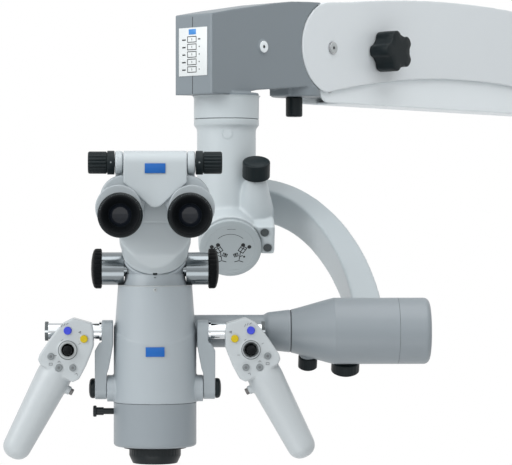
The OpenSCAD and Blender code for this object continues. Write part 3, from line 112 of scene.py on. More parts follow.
def shift(m, x, y, z):
    """The matrix m moved along its own axes, in millimetres."""
    return m @ Matrix.Translation(Vector((x, y, z)) * MM)


ARM_DIR = Vector((-NEAR.y, NEAR.x, 0))
SWIVEL = joint_pos("neck_swivel")
TILT_DIR = Vector((0, math.cos(TILT_RISE), math.sin(TILT_RISE)))
TILT_UP = Vector((0, -math.sin(TILT_RISE), math.cos(TILT_RISE)))
ARM_SIDE = axes(SWIVEL + NEAR * ARM_HALF * MM, ARM_DIR, NEAR)
ARM_FACE = axes(SWIVEL - ARM_DIR * HEAD_FRONT * MM, NEAR, -ARM_DIR)
TILT = axes(at(TILT_SIDE, PITCH_BACK, 0), RIGHT, TILT_DIR)


def on_tilt(x, y, z):
    """A place beside the side tilt's axis, as a point of the frame."""
    return TILT @ (Vector((x, y, z)) * MM)


# Materials
CLOUD_SCALE, CLOUD_DETAIL = 14.0, 5.0     # the mottling of colour and roughness
GRAIN_SCALE, GRAIN_DETAIL = 900.0, 2.0
GRAIN_DEPTH = 0.0004
ROUGH_SPREAD, LEAST_ROUGH = 0.06, 0.03
COAT_ROUGH = 0.15


def finish_of(name, colour, rough, metal=0.0, grain=0.03, shade=0.05, coat=0.0, wave=0.0, gloss=0.5):
    """A procedural finish: mottled colour, varied roughness and a fine grain in the surface."""
    mat = bpy.data.materials.new(name)
    mat.use_nodes = True
    new, join = mat.node_tree.nodes.new, mat.node_tree.links.new
    shader = mat.node_tree.nodes["Principled BSDF"]
    shader.inputs["Metallic"].default_value = metal
    shader.inputs["Coat Weight"].default_value = coat
    shader.inputs["Coat Roughness"].default_value = COAT_ROUGH
    shader.inputs["Specular IOR Level"].default_value = gloss
    place = new("ShaderNodeTexCoord")

    def pattern(kind, settings):
        texture = new(kind)
        for socket, value in settings.items():
            texture.inputs[socket].default_value = value
        join(place.outputs["Object"], texture.inputs["Vector"])
        return texture.outputs["Fac"]

    cloud = pattern("ShaderNodeTexNoise", {"Scale": CLOUD_SCALE, "Detail": CLOUD_DETAIL})
    tone = new("ShaderNodeMix")
    tone.data_type = "RGBA"
    tone.inputs[6].default_value = (*[c * (1 - shade) for c in colour], 1)
    tone.inputs[7].default_value = (*[min(c * (1 + shade), 1) for c in colour], 1)
    join(cloud, tone.inputs[0])
    join(tone.outputs[2], shader.inputs["Base Color"])
    spread = new("ShaderNodeMapRange")
    spread.inputs["To Min"].default_value = max(rough - ROUGH_SPREAD, LEAST_ROUGH)
    spread.inputs["To Max"].default_value = rough + ROUGH_SPREAD
    join(cloud, spread.inputs["Value"])
    join(spread.outputs["Result"], shader.inputs["Roughness"])
    if wave:
        height = pattern("ShaderNodeTexWave", {"Scale": wave, "Distortion": 1.0})
    else:
        height = pattern("ShaderNodeTexNoise", {"Scale": GRAIN_SCALE, "Detail": GRAIN_DETAIL})
    bump = new("ShaderNodeBump")
    bump.inputs["Strength"].default_value = grain
    bump.inputs["Distance"].default_value = GRAIN_DEPTH
    join(height, bump.inputs["Height"])
    join(bump.outputs["Normal"], shader.inputs["Normal"])
    return mat


def finishes(table):
    return {name: finish_of(name, **look) for name, look in table.items()}


PALE = {"rough": 0.42, "shade": 0.02, "coat": 0.1}
FINISHES = finishes({
    # Under the names of the material slots
    "pale_paint": dict(colour=(0.345, 0.39, 0.42), **PALE),
    "white_plastic": dict(colour=(0.70, 0.75, 0.78), rough=0.36, shade=0.015, coat=0.1),
    "dark_casting": dict(colour=(0.20, 0.235, 0.26), rough=0.45, grain=0.06, shade=0.03),
    "mid_grey_paint": dict(colour=(0.235, 0.27, 0.295), rough=0.40, shade=0.025, coat=0.1),
    "link_metal": dict(colour=(0.42, 0.45, 0.46), rough=0.36, metal=0.3, shade=0.03),
    "black_plastic": dict(colour=(0.004, 0.009, 0.011), rough=0.40, grain=0.12, shade=0.2, gloss=0.2),
    "black_paint": dict(colour=(0.006, 0.010, 0.012), rough=0.34, shade=0.2, gloss=0.25),
    "black_rubber": dict(colour=(0.003, 0.004, 0.005), rough=0.55, grain=0.10, shade=0.2, gloss=0.1),
    "steel_pin": dict(colour=(0.50, 0.50, 0.51), rough=0.25, metal=0.9, grain=0.05, wave=400.0),
    "chrome": dict(colour=(0.22, 0.245, 0.26), rough=0.16, metal=1.0, grain=0.01, shade=0.02),
    "lens_glass": dict(colour=(0.015, 0.02, 0.03), rough=0.06, grain=0.0, shade=0.25, gloss=0.3),
    "blue_plastic": dict(colour=(0.04, 0.06, 0.56), rough=0.30, coat=0.1, gloss=0.35),
    "yellow_plastic": dict(colour=(0.54, 0.41, 0.006), rough=0.30, coat=0.05, gloss=0.3),
    "grey_plastic": dict(colour=(0.20, 0.225, 0.235), rough=0.40, coat=0.05),
    "brown_plastic": dict(colour=(0.13, 0.125, 0.125), rough=0.35, coat=0.1),
    # Of single pieces that differ from their slot's
    "link_white": dict(colour=(0.80, 0.86, 0.89), rough=0.40, shade=0.02),
    "neck_pale": dict(colour=(0.50, 0.555, 0.58), **PALE),
    "prism_pale": dict(colour=(0.36, 0.405, 0.43), **PALE),
    "tube_pale": dict(colour=(0.46, 0.51, 0.535), **PALE),
    "bracket_pale": dict(colour=(0.30, 0.34, 0.365), **PALE),
    "arm_pale": dict(colour=(0.41, 0.46, 0.485), **PALE),
    "stick_ring": dict(colour=(0.40, 0.43, 0.44), rough=0.35, shade=0.02),
    "cap_black": dict(colour=(0.003, 0.004, 0.005), rough=0.45, shade=0.1, gloss=0.06),
    "handle_white": dict(colour=(0.45, 0.49, 0.51), rough=0.36, shade=0.015, coat=0.2),
    "disc_grey": dict(colour=(0.38, 0.43, 0.45), rough=0.40, shade=0.02, coat=0.1),
    "bright_chrome": dict(colour=(0.60, 0.63, 0.65), rough=0.12, metal=1.0, grain=0.01, shade=0.02),
    "blue_plate": dict(colour=(0.004, 0.105, 0.40), rough=0.35, shade=0.03, coat=0.1, gloss=0.3),
    "tag_blue": dict(colour=(0.04, 0.24, 0.62), rough=0.35, shade=0.03, coat=0.2),
    "label_white": dict(colour=(0.72, 0.76, 0.77), rough=0.40, shade=0.01),
    # Print on labels and dials, and painted shade on the floor of screw sockets
    "ink_and_socket_shade": dict(colour=(0.015, 0.017, 0.018), rough=0.5, shade=0.1, gloss=0.3),
    "ink_grey": dict(colour=(0.12, 0.13, 0.14), rough=0.5, shade=0.1),
    # Painted shade: dark bands in the seams between parts
    "painted_gap_shade": dict(colour=(0.06, 0.065, 0.07), rough=0.8, shade=0.1, gloss=0.2),
    # Painted shade in screw recesses and joystick hollows, and the dark ring on a handle shaft's end
    "painted_shade_and_dark_ring": dict(colour=(0.10, 0.115, 0.12), rough=0.6, shade=0.1, gloss=0.3),
})
NODE_PAINT = {
    "c_arm": "arm_pale", "lower_link": "link_white", "neck_column": "neck_pale",
    "left_bracket": "bracket_pale", "right_bracket": "bracket_pale",
    "prism_housing_left": "prism_pale", "prism_housing_right": "prism_pale",
    "tube_cover": "tube_pale", "tube_base": "tube_pale",
    "left_handle": "handle_white", "right_handle": "handle_white",
    "left_handle_shaft": "bright_chrome", "right_handle_shaft": "bright_chrome",
}


# Mesh tools
def new_piece(name, bm, body, slot_name, paint=None, angle=EDGE_ANGLE):
    """Makes a piece from a bmesh, riding on a body, in the finish paint or else in its slot's."""
    mesh = bpy.data.meshes.new(name)
    bmesh.ops.recalc_face_normals(bm, faces=bm.faces)
    limit = math.radians(angle)
    for f in bm.faces:
        f.smooth = True
    for e in bm.edges:
        e.smooth = len(e.link_faces) == 2 and e.calc_face_angle(0) < limit
    bm.to_mesh(mesh)
    bm.free()
    obj = bpy.data.objects.new(name, mesh)
    bpy.context.scene.collection.objects.link(obj)
    mesh.materials.append(FINISHES[paint or slot_name])
    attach(obj, body)
    return obj


def quarter(r, z, edge, start):
    """A quarter circle of radius edge that reaches r, from this angle on, as profile points."""
    turns = [math.radians(start + 90 * i / QUARTER_STEPS) for i in range(QUARTER_STEPS + 1)]
    return [(r - edge + edge * math.cos(a), z + edge * math.sin(a)) for a in turns]


def round_foot(r, z, edge):
    """A rounded edge from the face at z out to the side at r."""
    return quarter(r, z + edge, edge, -90)


def round_top(r, z, edge):
    """A rounded edge from the side at r in to the face at z."""
    return quarter(r, z - edge, edge, 0)


def lathe_mesh(profile, m, bm=None, steps=ROUND, wobble=None):
    """Turns a profile of (radius, height) about the Z of m. wobble adds to each radius."""
    bm = bm or bmesh.new()
    rings = []
    for r, z in profile:
        if r <= 0:
            rings.append([bm.verts.new(m @ (Vector((0, 0, z)) * MM))])
            continue
        ring = []
        for i in range(steps):
            a = 2 * math.pi * i / steps
            rr = r + (wobble(a, r, z) if wobble else 0)
            ring.append(bm.verts.new(m @ (Vector((rr * math.cos(a), rr * math.sin(a), z)) * MM)))
        rings.append(ring)
    for low, high in zip(rings, rings[1:]):
        for i in range(steps):
            j = (i + 1) % steps
            a, b = low[i % len(low)], low[j % len(low)]
            c, d = high[j % len(high)], high[i % len(high)]
            corners = list(dict.fromkeys((a, b, c, d)))
            if len(corners) > 2:
                bm.faces.new(corners)
    return bm


def lathe(name, profile, m, body, slot_name, paint=None, steps=ROUND, wobble=None, angle=EDGE_ANGLE):
    bm = lathe_mesh(profile, m, None, steps, wobble)
    return new_piece(name, bm, body, slot_name, paint, angle)


def box_mesh(bm, m, x, y, z, bevel=0.0):
    """Adds a box of these sizes, its back face's middle at m, with bevelled edges."""
    verts = bmesh.ops.create_cube(bm, size=1.0)["verts"]
    for v in verts:
        v.co = m @ Vector((v.co.x * x * MM, v.co.y * y * MM, (v.co.z + 0.5) * z * MM))
    if bevel:
        edges = list(dict.fromkeys(e for v in verts for e in v.link_edges))
        bmesh.ops.bevel(bm, geom=edges, offset=bevel * MM, segments=2, affect="EDGES", profile=0.5)


def plate(name, m, x, y, z, body, slot_name, paint, bevel=0.2):
    bm = bmesh.new()
    box_mesh(bm, m, x, y, z, bevel)
    return new_piece(name, bm, body, slot_name, paint)


def strokes(bm, m, points, width, high=0.12):
    """Adds a line of thin raised bars through points of m's X and Y."""
    for (x0, y0), (x1, y1) in zip(points, points[1:]):
        length = math.hypot(x1 - x0, y1 - y0)
        turn = Matrix.Rotation(math.atan2(y1 - y0, x1 - x0), 4, "Z")
        box_mesh(bm, shift(m, (x0 + x1) / 2, (y0 + y1) / 2, 0) @ turn, length + width * 0.6, width, high)


def arc_points(r, from_deg, to_deg, steps, cx, cy):
    turns = [math.radians(from_deg + (to_deg - from_deg) * i / steps) for i in range(steps + 1)]
    return [(cx + r * math.cos(a), cy + r * math.sin(a)) for a in turns]


def dots(bm, m, places, r, high=0.12, steps=16):
    for x, y in places:
        lathe_mesh([(0, 0), (r, 0), (r, high), (0, high)], shift(m, x, y, 0), bm, steps)


def ribs(count, depth, low, high):
    """Fine ribs round a knob between two heights."""
    def wobble(a, r, z):
        return -depth * (0.5 + 0.5 * math.cos(count * a)) ** 3 if low < z < high else 0.0
    return wobble


def lobes(count, depth, inner):
    """Round lobes with flat tops round a knob's rim, outside the radius inner."""
    def wobble(a, r, z):
        return -depth * math.tanh(1.7 * math.cos(count * a)) - depth * 0.35 if r > inner else 0.0
    return wobble


def round_knob(r, h, stem, edge):
    """The profile of a knob on its stem, with round edges and a sunk cap."""
    rim = [(r, h * (0.1 + 0.8 * i / 3)) for i in range(4)]
    cap = [(r * 0.8, h), (r * 0.76, h - 0.4), (0, h - 0.4)]
    return ([(0, -stem), (4, -stem), (4, 0)] + round_foot(r, 0, edge * 0.6) + rim
            + round_top(r, h, edge) + cap)


def knob(name, node, m, profile, count, depth, low, high):
    """A ribbed black knob in a node's place. Its body has the node's name."""
    obj = lathe(name, profile, m, node, "black_plastic", steps=count * 8,
                wobble=ribs(count, depth, low, high), angle=40)
    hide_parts(node)


def screw(name, m, r, body, paint=None):
    """A flat cap with a round edge and a small hexagon socket, whose black floor is painted shade."""
    prof = ([(0, -0.6)] + round_foot(r, -0.6, 0.2) + round_top(r, 1.0, 0.5)
            + [(r * 0.34, 1.0), (r * 0.32, 0.4), (0, 0.4)])
    lathe(name, prof, m, body, "link_metal", paint, steps=48)
    # The black hexagon in the socket is painted shade, in the colour of the print
    socket = [(r * 0.31, 0.3), (r * 0.30, 0.55), (0, 0.55)]
    lathe(name + "_socket", socket, m, body, "black_plastic", "ink_and_socket_shade", steps=6)


# The CAD nodes
def copy_mesh(node):
    """A welded copy of a CAD node's mesh, in the frame."""
    bm = bmesh.new()
    bm.from_mesh(nodes[node].data)
    bm.transform(nodes[node].matrix_world)
    bmesh.ops.remove_doubles(bm, verts=bm.verts, dist=WELD)
    bmesh.ops.dissolve_degenerate(bm, edges=bm.edges, dist=1e-7)
    return bm


def body_named(node):
    bodies = frame["record"]["behaviour"]["bodies"]
    return next((body for body, names in bodies.items() if node in names), None)


def slot_named(node):
    parts = frame["record"]["subparts"]
    return next((part["material_slot"] for part in parts if part["node"] == node), None)


def box_middle(node):
    """The low corner, the high corner and the middle of a node's box."""
    low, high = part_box(node)
    return low, high, Vector(((low.x + high.x) / 2, (low.y + high.y) / 2, (low.z + high.z) / 2))


def cast(node, voxel, rounds):
    """A node's copy as a casting: remeshed and smoothed, so that its edges and joins are round."""
    obj = new_piece(node + "_cast", copy_mesh(node), body_named(node), slot_named(node),
                    NODE_PAINT.get(node))
    grid = obj.modifiers.new("grid", "REMESH")
    grid.mode = "VOXEL"
    grid.voxel_size = voxel * MM
    soft = obj.modifiers.new("soft", "SMOOTH")
    soft.factor = 0.5
    soft.iterations = rounds
    deps = bpy.context.evaluated_depsgraph_get()
    mesh = bpy.data.meshes.new_from_object(obj.evaluated_get(deps))
    obj.modifiers.clear()
    obj.data = mesh
    for f in mesh.polygons:
        f.use_smooth = True
    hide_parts(node)


def free_tilt_shaft(reach, play):
    """Draws the C-arm's shaft and hub face back from the column's bore, so that the casts don't rub."""
    back = TILT.inverted()
    mesh = bpy.data.objects["c_arm_cast"].data
    for v in mesh.vertices:
        p = back @ v.co
        rho = math.hypot(p.x, p.y) / MM
        if p.z / MM < HUB_FRONT - reach and 1 < rho < SHAFT_REACH:
            shrink = 1 - play / rho
            v.co = TILT @ Vector((p.x * shrink, p.y * shrink, p.z))
        elif p.z / MM < HUB_FRONT + reach and rho < HUB_REACH:
            v.co = TILT @ Vector((p.x, p.y, (HUB_FRONT + reach) * MM))


# The grid's size and the rounds of smoothing
CASTINGS = {
    "neck_column": (1.0, 45), "tube_base": (0.9, 30), "c_arm": (1.2, 30), "body_shell": (0.8, 4),
    "left_handle": (0.8, 12), "right_handle": (0.8, 12), "pitch_hub": (0.8, 25), "left_bracket": (0.6, 4),
    "right_bracket": (0.6, 4), "tube_cover": (0.7, 4), "prism_housing_left": (0.7, 4),
    "prism_housing_right": (0.7, 4), "arm_head": (0.9, 3), "rear_knuckle": (1.2, 8),
    "changer_housing": (0.8, 3), "upper_link": (1.5, 2), "lower_link": (1.1, 2), "arm_cover": (1.0, 2),
}


def dress_nodes():
    for name, obj in nodes.items():
        obj.data.materials.clear()
        obj.data.materials.append(FINISHES[NODE_PAINT.get(name) or slot_named(name)])
    for name, (voxel, rounds) in CASTINGS.items():
        cast(name, voxel * (1.0), rounds)
    free_tilt_shaft(0.6, 1.1)


# Spring arm
LABEL_T = 0.8
LABEL_ROWS = 5
LABEL_ROW_STEP = 8.1
LABEL_FRAME = ((-7.7, -3.0), (-7.7, 3.0), (5.0, 3.0), (5.0, -3.0), (-7.7, -3.0))
LABEL_INK_T = 0.15
BOSS_SLEEVE = [(34.9, 0.25), (35.5, 0.6), (35.5, 22.5), (36.1, 24.0), (37.2, 25.2), (34.9, 25.4),
               (34.9, 0.25)]
FLANGE_RING = [(31.5, -0.4), (35.2, -0.4), (35.5, -0.7), (35.5, -6.4), (35.2, -7.0), (32.6, -10.4),
               (31.5, -10.8), (31.5, -0.4)]
LIFT_STAR = [(0, -2.0), (9, -2.0), (9, 0.6), (15, 0.8), (21.4, 1.2), (22.2, 2.2), (22.4, 14), (22.2, 26.0),
             (21.4, 27.1), (20.4, 27.5), (12.6, 27.5), (0, 27.5)]


def arm_label(body):
    face = shift(ARM_FACE, 0.2, 71.5, 0.1)
    plate("label_plate", shift(face, 0, -0.5, 0), 41.5, 52.0, LABEL_T, body,
          "white_plastic", "label_white", 0.3)
    plate("label_tag", shift(face, -0.6, 20.9, LABEL_T), 10.6, 5.8, 0.25, body,
          "blue_plastic", "tag_blue", 0.1)
    bm = bmesh.new()
    top = shift(face, 0, 0, LABEL_T)
    for i in range(LABEL_ROWS):
        row = 12.8 - i * LABEL_ROW_STEP
        strokes(bm, top, [(x, row + y) for x, y in LABEL_FRAME], 0.8)
        box_mesh(bm, shift(top, -13.1, row - 0.3, 0), 5.4 - 0.5 * (i % 3), 1.4, LABEL_INK_T)
        box_mesh(bm, shift(top, 9.4, row, 0), 1.2 + 2.0 * (i == 0), 1.3, LABEL_INK_T)
        box_mesh(bm, shift(top, -1.4, row, 0), 0.6, 2.4, LABEL_INK_T)
    new_piece("label_marks", bm, body, "black_plastic", "ink_and_socket_shade")


def arm_details():
    body = "arm_head"
    arm_label(body)
    bm = bmesh.new()
    # A thin dark bar down the seam on the head's face: painted shade in the gap
    box_mesh(bm, shift(ARM_FACE, -1, 67, -0.5), 0.7, 83, 0.7)
    new_piece("head_seam_shade", bm, body, "black_plastic", "painted_gap_shade")
    screw("head_cap_screw", shift(ARM_SIDE, 29.5, 79.5, 1.3), 6.4, body, "link_white")
    swivel = axes(SWIVEL, RIGHT, UP)
    lathe("head_boss_sleeve", BOSS_SLEEVE, swivel, body, "pale_paint", "neck_pale")
    # A dark band round the swivel's seam: painted shade in the gap
    lathe("swivel_gap_shade", [(34.8, -0.35), (34.8, 0.3)], swivel, body, "black_plastic", "painted_gap_shade")
    lathe("neck_flange_ring", FLANGE_RING, swivel, "neck", "pale_paint", "neck_pale")
    screw("cover_pin_cap", shift(ARM_SIDE, FRONT_PIVOT, UPPER_PIVOT, 1.5), 6.0, "arm_head")
    screw("cover_pin_cap_rear", shift(ARM_SIDE, REAR_PIVOT, UPPER_PIVOT, 1.5), 6.0, "stand_knuckle")
    star = lathe("lift_knob_star", LIFT_STAR, shift(ARM_SIDE, LIFT_KNOB, UPPER_PIVOT, 0), "lift_knob",
                 "black_plastic", steps=180, wobble=lobes(5, 2.6, 12), angle=50)
    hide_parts("lift_knob")


# Neck and tilt joint
DIAL_RISE = 3.4
DIAL = [(0, 0.9), (26.2, 0.9), (26.4, 0.7), (26.7, 0.7), (26.9, 0.9), (32.6, 0.9), (33.2, 0.6), (33.4, 0.1),
        (33.4, -4.0), (0, -4.0)]
DIAL_MARKS = (
    [(-17.6, 0.8), (-12.0, 4.0), (-8.2, -2.0), (-13.4, -5.4), (-17.6, 0.8)],
    [(-14.8, 2.4), (-10.8, -3.7)],
    [(-16.2, -1.2), (-10.6, 1.8)],
    [(-10.8, -3.7), (-9.4, -13.2)],
    [(-13.6, -16.0), (-9.4, -14.4), (-4.6, -15.8)],
    [(-7.4, -5.0), (-3.2, -6.8), (-4.6, -10.0), (-8.4, -8.4), (-7.4, -5.0)],
    [(-13.0, -8.2), (-10.2, -9.6)],
)
LUG_SCREW = [(4.6, -0.4), (4.5, 0.15), (4.1, 0.1), (3.8, -1.2), (0, -1.6)]
LUG_SCREW_HEAD = [(2.6, -1.7), (2.5, -1.1), (1.3, -1.0), (1.2, -1.5), (0, -1.5)]
NECK_PLUG = [(0, 0.5), (4.6, 0.5), (4.9, 0.25), (5.1, 0.25), (5.4, 0.6), (5.75, 0.4), (5.75, -0.6),
             (0, -0.6)]


def tilt_dial(body):
    front = axes(shift(TILT, 0, 0, DIAL_PLACE).translation, RIGHT, -TILT_DIR)
    raised = [(r, z + DIAL_RISE) for r, z in DIAL]
    obj = lathe("tilt_dial", raised, front, body, "mid_grey_paint", "disc_grey")
    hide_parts("tilt_plate")
    bm = bmesh.new()
    top = shift(front, 0, 0, 4.25)
    for side, word in SIDES:
        for line in DIAL_MARKS:
            strokes(bm, top, [(-side * x, y) for x, y in line], 0.9)
        dots(bm, top, [(side * 20.2, 2.3), (side * 13.5, 4.6)], 2.2)
        dots(bm, top, [(side * 5.6, -7.4), (side * 14.8, -9.6)], 1.2)
    strokes(bm, top, arc_points(19.6, 47, 133, 16, 0, -2.1), 0.45)
    strokes(bm, top, [(-4, 23.2), (0.5, 23.6), (5, 23.2)], 0.35)
    new_piece("tilt_marks", bm, body, "black_plastic", "ink_and_socket_shade")


def neck_details():
    body = "neck"
    tilt_dial(body)
    # The lug's screw recesses and the screw heads in them are dark: painted shade in the recesses
    for name, x, v in (("lug_screw_upper", 117.7, 17.0), ("lug_screw_lower", 121.0, -1.4)):
        base = axes(on_tilt(x - TILT_SIDE, -v, 181.9), RIGHT, -TILT_DIR)
        lathe(name, LUG_SCREW, base, body, "dark_casting", "painted_shade_and_dark_ring", steps=48)
        lathe(name + "_head", LUG_SCREW_HEAD, base, body, "dark_casting", "painted_shade_and_dark_ring", steps=32)
    plug = axes(at(77.8, NECK_BACK - 31.8, 204.3), RIGHT, FRONT)
    lathe("neck_plug", NECK_PLUG, plug, body, "pale_paint", "neck_pale", steps=48)
    boss = axes(on_tilt(27.7, -67.0, 216.96), RIGHT, TILT_UP)
    knob("tilt_knob_ribbed", "tilt_knob", boss, round_knob(14.9, 18.3, 21.5, 1.6), 24, 0.1, 1.5, 16.2)


def pitch_details():
    down = -TILT_UP
    for name, node, joint, away, r, h, stem in (
            ("pitch_lock_ribbed", "pitch_lock_knob", "pitch_lock_turn", -2.5, 9.7, 14.0, 6.4),
            ("balance_ribbed", "balance_knob", "balance_knob_turn", 0.3, 14.4, 12.9, 8.9)):
        m = axes(joint_pos(joint) + down * away * MM, RIGHT, down)
        knob(name, node, m, round_knob(r, h, stem, 2.6), 20, 0.25, 1.5, h - 2)
    # Dark bands round the pitch hub's and the C-arm cap's seams: painted shade in the gaps
    for name, x, r, body in (("hub_gap_shade", 136.8, 21.2, "microscope"), ("cap_gap_shade", 245.35, 33.0, "c_arm")):
        m = axes(at(x, PITCH_BACK, -PITCH_LOW), UP, RIGHT)
        lathe(name, [(r, 0), (r, 0.6)], m, body, "black_plastic", "painted_gap_shade")


# Microscope body
BODY_RIM = [(36.0, 0), (37.2, 0.1), (37.3, 0.9), (36.6, 1.25), (31.8, 1.25)]
CHANGER_SKIRT = [(30.0, 1.0), (31.6, 1.2), (31.2, 3.5), (30.4, 7.5), (29.8, 12.0), (28.6, 12.2),
                 (30.0, 1.0)]
CHANGER_CAP = ([(0, 0), (18.5, 0)] + [(20.0, 0.8 + 1.6 * i) for i in range(4)]
               + [(19.4, 7.0), (17.8, 8.2), (14.0, 9.4), (8.0, 10.4), (0, 10.8)])
OBJECTIVE = ([(21.05, 0.6), (21.5, 0), (22.3, 0.3), (24.4, 4.6), (25.6, 7.4), (25.85, 8.4)]
             + [(25.85, 9.0 + 2.0 * i) for i in range(3)]
             + [(25.85, 15.0), (31.3, 15.1), (31.3, 16.6), (23, 16.7), (23, 23.6), (21.05, 23.6),
                (21.05, 0.6)])


def body_details():
    body = "microscope"
    plate("body_plate", axes(at(0, -41.2, -19.5), RIGHT, FRONT), 18.6, 9.5, 0.7, body,
          "blue_plastic", "blue_plate")
    rim = axes(at(0, 0, 44.6), RIGHT, UP)
    lathe("body_rim", BODY_RIM, rim, body, "link_metal")
    lathe("changer_skirt", CHANGER_SKIRT, rim, body, "pale_paint")
    screw("body_screw", axes(at(0, -37.2, 41.5), RIGHT, FRONT), 1.9, body)
    # A dark band round the body's lower seam: painted shade in the gap
    seam = axes(at(0, 0, -71.55), RIGHT, UP)
    lathe("body_gap_shade", [(40.7, 0), (40.7, 0.4)], seam, body, "black_plastic", "painted_gap_shade")
    bm = bmesh.new()
    box_mesh(bm, axes(at(0, -29.2, 57.6), RIGHT, FRONT), 4.4, 3.0, 3.0, 0.4)
    box_mesh(bm, axes(at(0, -30.3, 53.4), RIGHT, FRONT), 2.2, 0.6, 0.3)
    new_piece("index_block", bm, body, "black_plastic")
    caps = [lathe("changer_cap_" + word, CHANGER_CAP, axes(at(side * 53.1, 0, 62.0), UP, (side, 0, 0)),
                  "changer", "black_plastic", "cap_black", steps=192, wobble=ribs(24, 0.7, 0.5, 6.5),
                  angle=40) for side, word in SIDES]
    for cap in reversed(caps):
        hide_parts("mag_knobs")
    barrel = lathe("objective_ribbed", OBJECTIVE, axes(at(0, 0, -132.0), RIGHT, UP), "objective",
                   "black_paint", steps=288, wobble=ribs(36, 0.22, 8.6, 14.0))
    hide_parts("objective_barrel")


# Binocular tube
DIOPTRE_RING = ([(15.05, 0), (20.9, 0)] + [(21.75, 0.8 + 2.4 * i) for i in range(4)]
                + [(21.75, 8.4), (21.2, 9.0), (21.2, 13.2), (20.6, 13.9), (15.05, 13.9), (15.05, 0)])
DIOPTRE_TICKS = 30
EYECUP = ([(15.05, 0)] + round_foot(18.9, 0, 0.8) + [(18.7, 4.5), (18.9, 5.2), (19.0, 16.2)]
          + round_top(19.0, 17.6, 0.7)
          + [(17.7, 17.6), (17.1, 17.1), (11.6, 7.0), (11.4, 6.4), (15.05, 6.4), (15.05, 0)])
EYE_BARREL = [(11.5, 0), (15, 0), (15, 31.4), (13.6, 32.4), (12.2, 32.6), (11.0, 31.4), (11.0, 28.0),
              (11.5, 28.0), (11.5, 0)]
LENS_R = 11.45
LENS_RISE = 2.2
LENS_STEPS = 8
PD_KNOB = ([(4, 0), (4, 39.4)] + round_foot(11.6, 39.4, 0.6) + round_top(11.6, 46.4, 0.5)
           + [(10.0, 46.5), (10.0, 47.0)] + [(10.9, 47.4 + 4.0 * i) for i in range(5)]
           + [(10.4, 64.6), (9.4, 65.1), (7.4, 65.1), (7.0, 64.6), (0, 64.6)])
PD_DOT = [(0, 0.25), (0.8, 0.2), (0.8, -0.2)]


def lens_profile():
    steps = range(1, LENS_STEPS + 1)
    dome = [(LENS_R * i / LENS_STEPS, LENS_RISE * (1 - (i / LENS_STEPS) ** 2)) for i in steps]
    return [(0, LENS_RISE)] + dome + [(LENS_R, -1.0), (0, -1.0)]


def eyepiece_details(side, word):
    prism = "prism_" + word
    eye = axes(at(side * EYE_SIDE, 0, EYE_HEIGHT), RIGHT, FRONT)
    ring = shift(eye, 0, 0, 98.1)
    obj = lathe("dioptre_ribbed_" + word, DIOPTRE_RING, ring, "dioptre_ring_" + word, "black_paint",
                steps=288, wobble=ribs(36, 0.5, 0.9, 8.0))
    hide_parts("dioptre_ring_" + word)
    bm = bmesh.new()
    for i in range(DIOPTRE_TICKS + 1):
        a = math.radians(15 + 150 * i / DIOPTRE_TICKS)
        spot = ring @ (Vector((20.0 * math.cos(a), 20.0 * math.sin(a), 13.85)) * MM)
        out = ring.to_3x3() @ Vector((math.cos(a), math.sin(a), 0))
        box_mesh(bm, axes(spot, out, FRONT), 1.3 if i % 5 == 0 else 0.7, 0.35, 0.12)
    new_piece("dioptre_marks_" + word, bm, "dioptre_ring_" + word, "white_plastic", "grey_plastic")
    obj = lathe("eyecup_soft_" + word, EYECUP, shift(eye, 0, 0, 112.4), "eyecup_" + word, "black_rubber")
    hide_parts("eyecup_" + word)
    barrel = lathe("eye_barrel_" + word, EYE_BARREL, shift(eye, 0, 0, 86.2), prism, "black_paint")
    lens = lathe("eye_lens_" + word, lens_profile(), shift(eye, 0, 0, 111.5), prism, "lens_glass", steps=64)
    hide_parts("eyepiece_" + word)
    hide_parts("eyepiece_" + word)


def tube_details():
    plate("tube_plate", axes(at(0, -82.0, 160.1), RIGHT, FRONT), 20, 9.6, 0.7, "binocular", "blue_plastic",
          "blue_plate")
    for side, word in SIDES:
        eyepiece_details(side, word)
    bm = None
    for side, word in SIDES:
        bm = lathe_mesh(PD_KNOB, axes(at(*PD_BAR), UP, (side, 0, 0)), bm, 144, ribs(18, 1.0, 47.2, 64.0))
    obj = new_piece("pd_knobs_ribbed", bm, "pd_knobs", "black_plastic", angle=40)
    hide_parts("pd_knobs")
    for side, word in SIDES:
        dot = axes(at(side * 42.8, -81.6, PD_BAR[2]), RIGHT, FRONT)
        lathe("pd_dot_" + word, PD_DOT, dot, "pd_knobs", "grey_plastic", steps=24)


# Handles
HANDLE_MARKS = {
    "blue_button": ([(-6.4, 3.6), (-5.2, 6.4)], [(-3.8, 5.0), (-2.8, 7.2)], [(-1.4, 6.2), (0.6, 7.4)]),
    "yellow_button": ([(-5.2, 6.6), (-3.2, 7.6), (-3.4, 5.6), (-5.2, 6.6)],),
    "grey_button_1": ([(-1.6, -6.6), (1.4, -6.6), (1.4, -8.6), (-1.6, -8.6), (-1.6, -6.6)],),
    "grey_button_2": ([(-1.2, 5.2), (0.2, 6.4), (1.4, 5.2)],),
    "grey_button_3": ([(2.0, -6.2), (4.0, -5.4), (4.6, -7.4)],),
}
STICK_MARKS = ([(-13.4, -5.2), (-11.0, -5.2)], [(10.6, 5.6), (12.4, 6.6)], [(-6.4, 9.2), (-4.6, 10.6)])
MARK_WIDTH, MARK_HIGH, MARK_LIFT = 0.5, 0.15, 0.02
STICK_GROOVE = [(9.6, -0.3), (9.55, 1.35), (8.9, 1.4), (8.85, -0.3)]
STICK_RING = [(8.85, -0.2), (8.75, 1.5), (8.2, 1.8), (7.2, 1.7), (6.4, 1.2), (6.2, -1.6), (8.7, -1.6)]
STICK_WELL = [(7.45, -1.5), (7.3, -5.6), (0, -5.6)]
